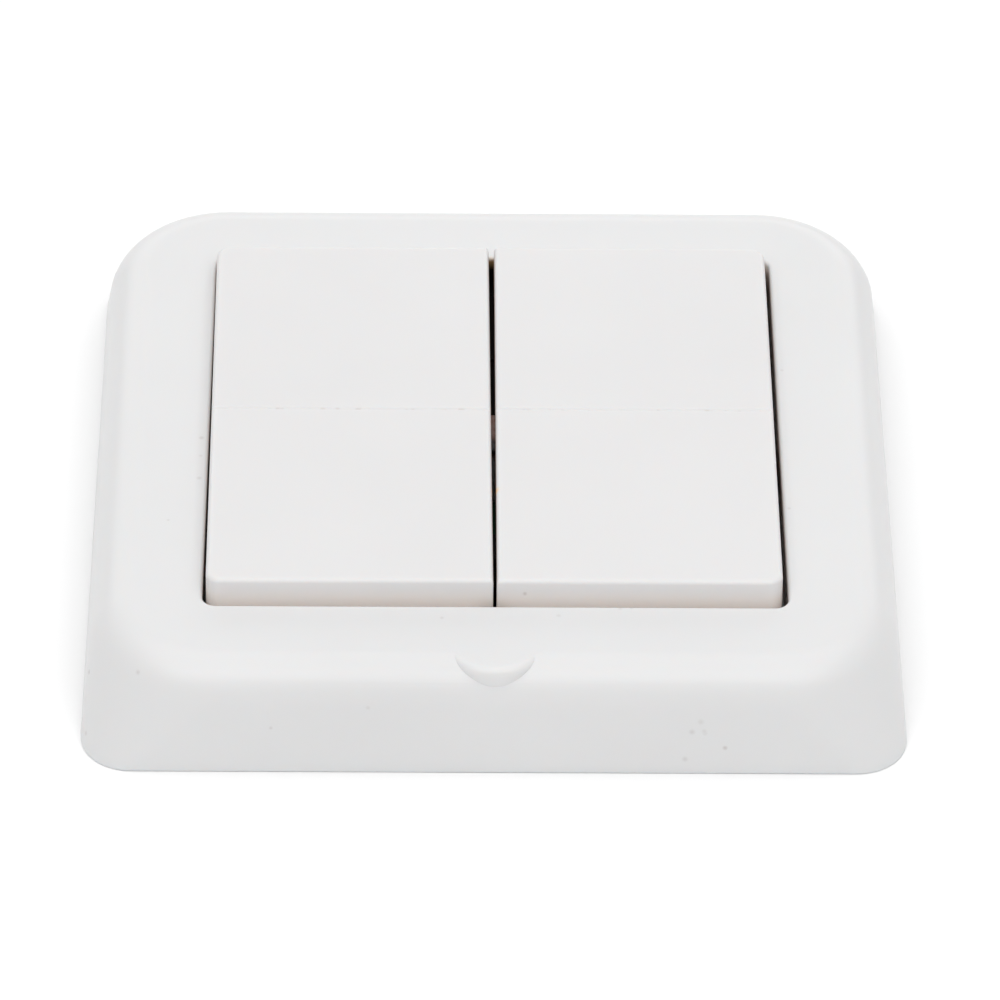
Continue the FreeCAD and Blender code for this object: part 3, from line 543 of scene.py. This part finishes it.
class RingSkin:
    """A skin of rounded rectangular rings, each extruded from the last one."""

    def __init__(self, steps):
        self.steps = steps
        self.bm = bmesh.new()
        self.ring = None

    def place(self, index, low, high, corners, z):
        """Where one vertex of a ring goes. The corners start at high x, high y, anticlockwise."""
        turn, step = divmod(index, self.steps + 1)
        corner = corners[turn]
        angle = (turn + step / self.steps) * RIGHT_ANGLE
        x = high[0] - corner if turn in (0, 3) else low[0] + corner
        y = high[1] - corner if turn in (0, 1) else low[1] + corner
        return Vector((x + corner * math.cos(angle), y + corner * math.sin(angle), z))

    def add(self, low, high, corners, z):
        """The next ring, between two corners of its box and with a radius for each corner."""
        if self.ring is None:
            made = bmesh.ops.create_circle(self.bm, segments=4 * (self.steps + 1), radius=high[0])
            self.ring = made["verts"]
        else:
            made = bmesh.ops.extrude_edge_only(self.bm, edges=self.edges())
            fresh = {item for item in made["geom"] if isinstance(item, bmesh.types.BMVert)}
            self.ring = [self.partner(vert, fresh) for vert in self.ring]
        for index, vert in enumerate(self.ring):
            vert.co = self.place(index, low, high, corners, z)

    def edges(self):
        return [self.bm.edges.get(pair) for pair in zip(self.ring, self.ring[1:] + self.ring[:1])]

    def cap(self):
        bmesh.ops.contextual_create(self.bm, geom=self.edges())

    @staticmethod
    def partner(vert, fresh):
        """The fresh vertex that a vertex of the last ring was extruded to."""
        others = (edge.other_vert(vert) for edge in vert.link_edges)
        return next(other for other in others if other in fresh)


def cover_section(sizes):
    """Half width, corner radius and height of each ring, from the foot over the top and inside."""
    top = COVER_TOP
    half = COVER_HALF
    edge = sizes.edge_round
    lean = math.atan(sizes.side_inset / top)
    middle = top - edge
    side_rate = sizes.side_inset / top
    centre = half - side_rate * middle - edge / math.cos(lean)
    foot_diagonal = (half - sizes.base_corner) * SQRT2 + sizes.base_corner
    top_diagonal = (half - sizes.side_inset - sizes.top_corner) * SQRT2 + sizes.top_corner
    corner_rate = (foot_diagonal - top_diagonal) / top
    corner_lean = math.atan(corner_rate)
    corner_centre = foot_diagonal - corner_rate * middle - edge / math.cos(corner_lean)

    def ring(z):
        reach = math.sqrt(max(0.0, edge ** 2 - (z - middle) ** 2))
        on_side = z <= middle + edge * math.sin(lean)
        on_cone = z <= middle + edge * math.sin(corner_lean)
        width = half - side_rate * z if on_side else centre + reach
        diagonal = foot_diagonal - corner_rate * z if on_cone else corner_centre + reach
        return width, (width * SQRT2 - diagonal) / (SQRT2 - 1), z

    # The outside: the small round at the foot, the leaning side and the round to the top
    foot = sizes.foot_round
    rings = []
    for angle in arc(0.0, RIGHT_ANGLE, FOOT_STEPS):
        width, corner, z = ring(foot * (1 - math.cos(angle)))
        inset = foot * (1 - math.sin(angle))
        rings.append((width - inset, corner - inset, z))
    tangent = middle + edge * math.sin(lean)
    for step in range(1, SIDE_STEPS + 1):
        rings.append(ring(foot + (tangent - foot) * step / SIDE_STEPS))
    for angle in arc(lean, RIGHT_ANGLE, TOP_STEPS)[1:]:
        rings.append(ring(middle + edge * math.sin(angle)))

    # The soft lip of the opening
    opening = opening_half(sizes)
    lip = sizes.lip_round
    for angle in arc(RIGHT_ANGLE, 0.0, LIP_STEPS):
        inset = lip * (1 - math.cos(angle))
        z = top - lip * (1 - math.sin(angle))
        rings.append((opening + inset, sizes.opening_corner + inset, z))
    # The collar that hangs down round the opening, and the hollow inside
    collar_corner = sizes.opening_corner + sizes.collar_wall
    collar = opening + sizes.collar_wall
    ceiling = top - sizes.wall
    inner = half - side_rate * middle - sizes.wall
    bevel = (edge - sizes.wall) * (2 - SQRT2)
    growth = sizes.top_corner - sizes.base_corner
    high_corner = sizes.base_corner + growth * ceiling / top - sizes.wall
    low_z = sizes.low_corner_top
    low_corner = sizes.base_corner + growth * low_z / top - sizes.wall
    rings.append((opening, sizes.opening_corner, sizes.collar_foot))
    rings.append((collar, collar_corner, sizes.collar_foot))
    rings.append((collar, collar_corner, ceiling))
    rings.append((inner - bevel, high_corner - bevel, ceiling))
    rings.append((inner, high_corner, ceiling - bevel))
    rings.append((inner, low_corner, low_z))
    rings.append((inner, low_corner, 0.0))
    rings.append(rings[0])
    return rings


def new_object(name, data):
    piece = bpy.data.objects.new(name, data)
    bpy.context.scene.collection.objects.link(piece)
    return piece


def object_from(bm, name):
    """An object at the origin from a bmesh, with its normals outwards."""
    bmesh.ops.remove_doubles(bm, verts=bm.verts, dist=WELD)
    bmesh.ops.recalc_face_normals(bm, faces=bm.faces)
    mesh = bpy.data.meshes.new(name)
    bm.to_mesh(mesh)
    bm.free()
    return new_object(name, mesh)


def block(low, high):
    """A temporary block between two corners, for joining to a piece."""
    bm = bmesh.new()
    bmesh.ops.create_cube(bm, size=1.0)
    size = Vector(high) - Vector(low)
    bmesh.ops.scale(bm, vec=size, verts=bm.verts)
    bmesh.ops.translate(bm, vec=(Vector(high) + Vector(low)) / 2, verts=bm.verts)
    return object_from(bm, "block")


def combine(piece, added, cut=()):
    """Cuts closed shapes out of a piece, joins others to it, and takes the loose ones away."""
    others = [*cut, *added]
    for other in others:
        step = piece.modifiers.new("step", "BOOLEAN")
        step.operation = "DIFFERENCE" if other in cut else "UNION"
        step.solver = "EXACT"
        step.object = other
    bpy.context.view_layer.update()
    shape = piece.evaluated_get(bpy.context.evaluated_depsgraph_get())
    mesh = bpy.data.meshes.new_from_object(shape)
    piece.modifiers.clear()
    old = piece.data
    piece.data = mesh
    bpy.data.meshes.remove(old)
    for other in others:
        bpy.data.meshes.remove(other.data)


def soften(piece):
    """Smooth shading that keeps the clean edges."""
    mesh = piece.data
    for face in mesh.polygons:
        face.use_smooth = True
    mesh.set_sharp_from_angle(angle=SHARP_ANGLE)
    weighted = piece.modifiers.new("even_normals", "WEIGHTED_NORMAL")
    weighted.keep_sharp = True
    weighted.weight = EVEN_WEIGHT


def settle(piece, material, body, nodes):
    """Gives a finished piece its material and body, and lets it stand for its nodes."""
    piece.data.materials.clear()
    piece.data.materials.append(material)
    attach(piece, body)
    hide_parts(*nodes)


def boss(sizes):
    """The round boss, a hair lower than the cover's top so that the two don't share a face."""
    top = COVER_TOP - 2 * HAIR
    y = sizes.side_inset + sizes.boss_in - COVER_HALF
    bm = bmesh.new()
    bmesh.ops.create_circle(bm, cap_ends=True, segments=BOSS_SEGMENTS, radius=sizes.boss_radius)
    made = bmesh.ops.extrude_face_region(bm, geom=bm.faces[:])
    raised = [item for item in made["geom"] if isinstance(item, bmesh.types.BMVert)]
    height = sizes.edge_round
    bmesh.ops.translate(bm, vec=(0, 0, height), verts=raised)
    rim = [e for e in bm.edges if all(v.co.z > height / 2 for v in e.verts)]
    bmesh.ops.bevel(
        bm, geom=rim, offset=sizes.boss_round, offset_type="OFFSET", affect="EDGES",
        segments=BOSS_ROUND_STEPS, profile=0.5, material=-1, clamp_overlap=True,
    )
    bmesh.ops.translate(bm, vec=(0, y, top - height), verts=bm.verts)
    behind = -opening_half(sizes) - sizes.collar_wall / 2
    bmesh.ops.bisect_plane(
        bm, geom=bm.verts[:] + bm.edges[:] + bm.faces[:],
        plane_co=(0, behind, 0), plane_no=(0, 1, 0), clear_outer=True,
    )
    bmesh.ops.holes_fill(bm, edges=[e for e in bm.edges if e.is_boundary])
    return object_from(bm, "boss")


def cover_ribs(sizes):
    """Ribs between the collar and the side walls, and the ledges that the hooks catch."""
    top = COVER_TOP
    into = sizes.wall / 4  # how far joined shapes reach into each other
    collar = opening_half(sizes) + sizes.collar_wall - into
    wall = COVER_HALF - sizes.side_inset * (top - sizes.edge_round) / top - sizes.wall
    outer = wall - into
    ceiling = top - sizes.wall + into
    half = sizes.rib_wall / 2
    shapes = []
    for x, y in CORNERS:
        for swap in (False, True):
            along = x * sizes.rib_place
            across = sorted((y * collar, y * outer))
            low = (along - half, across[0], sizes.rib_foot)
            high = (along + half, across[1], ceiling)
            if swap:
                low = (low[1], low[0], low[2])
                high = (high[1], high[0], high[2])
            shapes.append(block(low, high))
        across = sorted((y * (wall - sizes.ledge_depth), y * (wall + into)))
        low = (x * sizes.ledge_place - sizes.ledge_length / 2, across[0], sizes.ledge_height)
        high = (low[0] + sizes.ledge_length, across[1], sizes.ledge_height + sizes.ledge_wall)
        shapes.append(block(low, high))
    return shapes


class SWITCH_OT_cover(Operator):
    """Build the moulded cover with its soft edges, collar, ribs and boss"""

    bl_idname = "wall_switch.cover"
    bl_label = "Cover"

    def execute(self, context):
        sizes = context.scene.switch_cover
        look = context.scene.switch_plastic
        skin = RingSkin(context.scene.switch_stage.ring_steps)
        rim = opening_half(sizes) + sizes.lip_round + HAIR
        for half, corner, z in cover_section(sizes):
            left = half - sizes.left_in if half < rim else half
            skin.add((-left, -half), (half, half), [corner] * 4, z)
        piece = object_from(skin.bm, "cover_shell")
        combine(piece, [boss(sizes)] + cover_ribs(sizes))
        soften(piece)
        settle(piece, cover_plastic(look, sizes), "housing", ["frame_cover"])
        return {"FINISHED"}


def rocker_cap(sizes, steps, askew, outreach):
    """A closed block with the right rocker's outside, still without its inner room."""
    low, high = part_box("rocker_right")
    shoulder = high.z - sizes.edge_round
    skin = RingSkin(steps)

    def ring(inset, z):
        radii = (sizes.outer_corner, sizes.inner_corner, sizes.inner_corner, sizes.outer_corner)
        corners = [max(radius - inset, TIGHTEST) for radius in radii]
        lean = sizes.end_flare * max(0.0, shoulder - z) / (shoulder - sizes.foot) - inset
        near = (low.x + inset, low.y - lean)
        far = (high.x + outreach - inset, high.y + lean)
        skin.add(near, far, corners, z)

    ring(sizes.foot_bevel, sizes.foot)
    skin.cap()
    ring(0.0, sizes.foot + sizes.foot_bevel)
    edge = sizes.edge_round
    for angle in arc(0.0, RIGHT_ANGLE, ROCKER_EDGE_STEPS):
        ring(edge * (1 - math.cos(angle)), high.z - edge * (1 - math.sin(angle)))
    skin.cap()
    middle = ((low.x + high.x) / 2, 0, 0)
    turn = Matrix.Rotation(-math.radians(askew), 3, "Z")
    bmesh.ops.rotate(skin.bm, cent=middle, matrix=turn, verts=skin.bm.verts)
    return object_from(skin.bm, "rocker_cap")


def groove_cutter(sizes):
    """A bar with a softly curved underside, which leaves the groove across a rocker's top."""
    bm = bmesh.new()
    half = sizes.groove_half
    over = ROCKER_TOP + half
    profile = [bm.verts.new((-half, half, over)), bm.verts.new((-half, -half, over))]
    for across in arc(-1.0, 1.0, GROOVE_STEPS):
        dip = sizes.groove_depth * (1 + math.cos(across * math.pi)) / 2
        profile.append(bm.verts.new((-half, across * half, ROCKER_TOP - dip + HAIR)))
    face = bmesh.ops.contextual_create(bm, geom=profile)["faces"]
    made = bmesh.ops.extrude_face_region(bm, geom=face)
    moved = [item for item in made["geom"] if isinstance(item, bmesh.types.BMVert)]
    bmesh.ops.translate(bm, vec=(COVER_HALF, 0, 0), verts=moved)
    return object_from(bm, "groove")


def pin_along_x(start, end, radius, z):
    """A round pin between two places on X."""
    bm = bmesh.new()
    middle = ((start + end) / 2, 0, z)
    lie = Matrix.Translation(middle) @ Matrix.Rotation(RIGHT_ANGLE, 4, "Y")
    bmesh.ops.create_cone(
        bm, cap_ends=True, segments=PIN_SEGMENTS, radius1=radius, radius2=radius,
        depth=end - start, matrix=lie,
    )
    return object_from(bm, "pin")


def rocker_inside(sizes):
    """What is cut out of the right rocker, and what is joined to it."""
    low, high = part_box("rocker_right")
    switch_low, switch_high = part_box("plunger_right_upper")
    switch_x = (switch_low.x + switch_high.x) / 2
    switch_y = (switch_low.y + switch_high.y) / 2
    into = sizes.wall / 5  # how far joined shapes reach into each other
    inner_x = low.x + sizes.wall
    outer_x = high.x - sizes.wall
    inner_y = high.y - sizes.wall
    ceiling = high.z - sizes.skin
    below = low.z - into
    gate = sizes.bearing + sizes.running_gap
    cut = [
        block((inner_x, -inner_y, below), (outer_x, inner_y, ceiling)),
        block((-into, -inner_y, below), (inner_x + into, inner_y, sizes.inner_foot)),
        block((-into, -gate, below), (inner_x + into, gate, PILLAR_TOP + sizes.running_gap)),
        groove_cutter(sizes),
    ]
    half_rib = sizes.rib_wall / 2
    rib_foot = ceiling - sizes.rib_height
    rib_top = ceiling + into
    post_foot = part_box("leaf_spring_right")[1].z + sizes.post_play
    spine_low = (switch_x - half_rib, -inner_y - into, rib_foot)
    spine_high = (switch_x + half_rib, inner_y + into, rib_top)
    added = [block(spine_low, spine_high)]
    for side in (-1, 1):
        rib = side * sizes.rib_place
        rib_low = (inner_x - into, rib - half_rib, rib_foot)
        rib_high = (outer_x + into, rib + half_rib, rib_top)
        added.append(block(rib_low, rib_high))
        centre = Vector((switch_x, side * switch_y, 0))
        for x, y in ((sizes.post_half, half_rib), (half_rib, sizes.post_half)):
            post_low = centre + Vector((-x, -y, post_foot))
            post_high = centre + Vector((x, y, rib_top))
            added.append(block(post_low, post_high))
    rib_x = sizes.pillar_half + sizes.running_gap
    for near, far in ((rib_x, rib_x + sizes.pin_rib), (outer_x, high.x)):
        added.append(block((near, -sizes.bearing, low.z), (far, sizes.bearing, rib_top)))
    added.append(pin_along_x(sizes.pin_start, rib_x + into, sizes.pin_radius, sizes.pivot))
    added.append(pin_along_x(sizes.outer_pin, outer_x + into, sizes.pin_radius, sizes.pivot))
    return added, cut


class SWITCH_OT_rockers(Operator):
    """Build the two rockers with their soft edges, grooves, ribs, posts and pins"""

    bl_idname = "wall_switch.rockers"
    bl_label = "Rockers"

    def execute(self, context):
        sizes = context.scene.switch_rocker
        material = rocker_plastic(context.scene.switch_plastic)
        steps = context.scene.switch_stage.ring_steps // 2
        for side in SIDES:
            node = "rocker_" + side
            on_left = side == "left"
            play = (sizes.askew, sizes.outreach) if on_left else (0.0, 0.0)
            piece = rocker_cap(sizes, steps, *play)
            combine(piece, *rocker_inside(sizes))
            if on_left:
                piece.data.transform(Matrix.Diagonal((-1, 1, 1, 1)))
                piece.data.flip_normals()
            else:
                piece.data.transform(Matrix.Translation((-sizes.right_shift, 0, 0)))
            piece.name = "rocker_cap_" + side
            soften(piece)
            settle(piece, material, node, [node])
        return {"FINISHED"}


def dress(material, *nodes):
    """Gives CAD nodes a finish."""
    for node in nodes:
        for holder in NODES[node].material_slots:
            holder.material = material


class SWITCH_OT_mouldings(Operator):
    """Finish the inner mouldings: chassis, wall plate, battery holder and switch cases"""

    bl_idname = "wall_switch.mouldings"
    bl_label = "Inner mouldings"

    def execute(self, context):
        look = context.scene.switch_plastic
        dress(chassis_plastic(look), "chassis")
        plate = moulded("plate_plastic", look.plate_colour, look, look.plate_roughness)
        dress(plate.material, "wall_plate")
        holder = moulded("holder_plastic", look.holder_colour, look)
        # Painted shade below the centre gap
        holder.set(Base_Color=painted_gap_shade(holder, look, holder.base)[1])
        dress(holder.material, "battery_holder")
        case = moulded("case_plastic", look.case_colour, look)
        dress(case.material, *["switch_case_" + name for name in SWITCHES])
        plunger = moulded("plunger_plastic", look.plunger_colour, look, look.plunger_roughness)
        dress(plunger.material, *["plunger_" + name for name in SWITCHES])
        return {"FINISHED"}


def sheet_metal(name, colour, roughness, look=None):
    """Rolled metal with streaks along X and uneven tarnish. With a look, it has painted shade below
    the centre gap too.
    """
    finish = Finish(name)
    inputs = {"Vector": finish.place, "Scale": STREAK_STRETCH}
    stretched = finish.add("ShaderNodeMapping", {"vector_type": "POINT"}, inputs)
    streaks = finish.noise(STREAK_SIZE, place=stretched)
    tarnish = finish.noise(TARNISH_SIZE, detail=3.0)
    dull = tuple(c * DULLED for c in colour)
    base = finish.blend(tarnish, dull, colour)
    satin = roughness + 0.12 * (streaks - 0.5) + 0.1 * (tarnish - 0.5)
    if look is None:
        finish.set(Base_Color=base, Roughness=satin, Metallic=1.0)
    else:
        # Painted shade below the centre gap: near black, matt and not metallic
        shade, gap_shaded = painted_gap_shade(finish, look, base)
        satin = satin + shade * (GAP_SHADE_ROUGHNESS - satin)
        finish.set(Base_Color=gap_shaded, Roughness=satin, Metallic=1 - shade)
    finish.set(Normal=finish.bump(streaks, 0.004 * MM, 0.5))
    return finish.material


class SWITCH_OT_metalwork(Operator):
    """Finish the springs, contacts, cell, shields, leads and screws"""

    bl_idname = "wall_switch.metalwork"
    bl_label = "Metalwork"

    def execute(self, context):
        look = context.scene.switch_plastic
        steel = sheet_metal("spring_steel", (0.62, 0.61, 0.58), 0.28)
        dress(steel, "leaf_spring_left", "leaf_spring_right")
        # The contacts, the cell and the resonator can take painted shade below the centre gap
        plated = sheet_metal("plated_contact", (0.72, 0.70, 0.64), 0.25, look)
        dress(plated, "battery_clip", "battery_contact")
        dress(sheet_metal("cell_can", (0.66, 0.65, 0.63), 0.3, look), "coin_cell")
        shields = ["switch_shield_" + name for name in SWITCHES]
        dress(sheet_metal("switch_shield", (0.70, 0.70, 0.70), 0.3), *shields)
        tinned = sheet_metal("tinned_lead", (0.74, 0.74, 0.72), 0.38)
        dress(tinned, "switch_leads", "encoder_leads")
        dress(sheet_metal("zinc_screw", (0.60, 0.60, 0.62), 0.35), "board_screws")
        dress(sheet_metal("resonator_can", (0.68, 0.67, 0.64), 0.27, look), "resonator_can")
        dress(sheet_metal("antenna_wire", (0.75, 0.42, 0.24), 0.32), "antenna_loop")
        return {"FINISHED"}


def board_laminate():
    """Green lacquer over woven glass."""
    finish = Finish("board_laminate")
    x = finish.axis("X")
    y = finish.axis("Y")
    turns = 2 * math.pi / WEAVE_PITCH
    weave = (x * turns).maths("SINE") * (y * turns).maths("SINE")
    clouds = finish.noise(5 * MM, detail=3.0)
    base = finish.blend(clouds, (0.012, 0.085, 0.035), (0.02, 0.13, 0.055))
    finish.set(
        Base_Color=base,
        Roughness=0.32 + 0.08 * (clouds - 0.5),
        Normal=finish.bump(weave * 0.5 + 0.5, 0.003 * MM, 0.4),
    )
    return finish.material


def fired_body(name, colour, roughness):
    """A small moulded or fired part's body, with fine specks."""
    finish = Finish(name)
    specks = finish.noise(FIRED_SPECK_SIZE, detail=3.0)
    dark = tuple(c * DULLED for c in colour)
    finish.set(
        Base_Color=finish.blend(specks, dark, colour),
        Roughness=roughness + 0.15 * (specks - 0.5),
        Normal=finish.bump(specks, 0.004 * MM, 0.5),
    )
    return finish.material


class SWITCH_OT_electronics(Operator):
    """Finish the board and the parts soldered to it"""

    bl_idname = "wall_switch.electronics"
    bl_label = "Electronics"

    def execute(self, context):
        dress(board_laminate(), "circuit_board")
        chip = fired_body("chip_body", (0.028, 0.028, 0.03), 0.55)
        dress(chip, "encoder_chip", "output_transistor")
        dress(fired_body("capacitor_body", (0.42, 0.27, 0.15), 0.4), "chip_capacitors")
        dress(fired_body("resistor_body", (0.025, 0.025, 0.028), 0.35), "chip_resistors")
        return {"FINISHED"}


def pale_floor(look):
    """A plain matt floor, a hair uneven."""
    finish = Finish("pale_floor")
    clouds = finish.noise(90 * MM, detail=3.0)
    low = tuple(c * 0.985 for c in look.floor_colour)
    finish.set(
        Base_Color=finish.blend(clouds, low, look.floor_colour),
        Roughness=0.8 + 0.1 * clouds,
        Specular_IOR_Level=0.2,
    )
    return finish.material


def area_light(name, place, size, power):
    """A white rectangular lamp that points at the switch."""
    data = bpy.data.lights.new(name, "AREA")
    data.shape = "RECTANGLE"
    data.size, data.size_y = size
    data.energy = power
    lamp = new_object(name, data)
    lamp.location = place
    direction = Vector((0.0, 0.0, 0.0)) - Vector(place)
    lamp.rotation_euler = direction.to_track_quat("-Z", "Y").to_euler()


def place_camera(look):
    """The photo's viewing angle, with the switch's back centre as the origin."""
    yaw = math.radians(look.yaw)
    elevation = math.radians(look.elevation)
    level = math.cos(elevation)
    back = Vector((math.sin(yaw) * level, -math.cos(yaw) * level, math.sin(elevation)))
    right = Vector((math.cos(yaw), math.sin(yaw), 0.0))
    turn = Matrix.Rotation(-math.radians(look.roll), 3, back)
    right = turn @ right
    up = back.cross(right)
    data = bpy.data.cameras.new("camera")
    data.lens = look.lens
    data.sensor_width = SENSOR_WIDTH
    data.clip_start = 10 * MM
    data.clip_end = 20.0
    camera = new_object("camera", data)
    axes = Matrix((right, up, back)).transposed()
    camera.matrix_world = axes.to_4x4()
    camera.location = axes @ Vector((look.aside, look.above, look.distance))
    bpy.context.scene.camera = camera


class SWITCH_OT_stage(Operator):
    """Set up the floor, the studio light and the camera"""

    bl_idname = "wall_switch.stage"
    bl_label = "Stage"

    def execute(self, context):
        look = context.scene.switch_stage
        bm = bmesh.new()
        bmesh.ops.create_grid(bm, x_segments=FLOOR_CELLS, y_segments=FLOOR_CELLS, size=FLOOR_HALF)
        floor = object_from(bm, "floor")
        floor.data.materials.append(pale_floor(look))

        world = bpy.data.worlds.new("studio")
        world.use_nodes = True
        background = world.node_tree.nodes["Background"]
        background.inputs["Color"].default_value = (1.0, 1.0, 1.0, 1.0)
        background.inputs["Strength"].default_value = look.world
        context.scene.world = world
        for name, (place, size) in LAMPS.items():
            area_light(name, place, size, getattr(look, name))
        context.scene.view_settings.view_transform = "Standard"
        place_camera(look)
        return {"FINISHED"}


class SWITCH_PT_panel(Panel):
    """Lists the pieces and the stage"""

    bl_idname = "SWITCH_PT_panel"
    bl_label = "Wall switch"
    bl_space_type = "VIEW_3D"
    bl_region_type = "UI"
    bl_category = "Wall switch"

    def draw(self, context):
        for operator in OPERATORS:
            self.layout.operator(operator.bl_idname)


GROUPS = {
    "switch_cover": CoverSizes,
    "switch_rocker": RockerSizes,
    "switch_plastic": PlasticLook,
    "switch_stage": StageLook,
}
OPERATORS = [
    SWITCH_OT_cover,
    SWITCH_OT_rockers,
    SWITCH_OT_mouldings,
    SWITCH_OT_metalwork,
    SWITCH_OT_electronics,
    SWITCH_OT_stage,
]


def register():
    for name, group in GROUPS.items():
        bpy.utils.register_class(group)
        setattr(bpy.types.Scene, name, PointerProperty(type=group))
    for kind in OPERATORS + [SWITCH_PT_panel]:
        bpy.utils.register_class(kind)


def unregister():
    for kind in [SWITCH_PT_panel] + OPERATORS[::-1]:
        bpy.utils.unregister_class(kind)
    for name, group in GROUPS.items():
        delattr(bpy.types.Scene, name)
        bpy.utils.unregister_class(group)


def main():
    register()
    bpy.ops.wall_switch.cover()
    bpy.ops.wall_switch.rockers()
    bpy.ops.wall_switch.mouldings()
    bpy.ops.wall_switch.metalwork()
    bpy.ops.wall_switch.electronics()
    bpy.ops.wall_switch.stage()


if __name__ == "__main__":
    main()
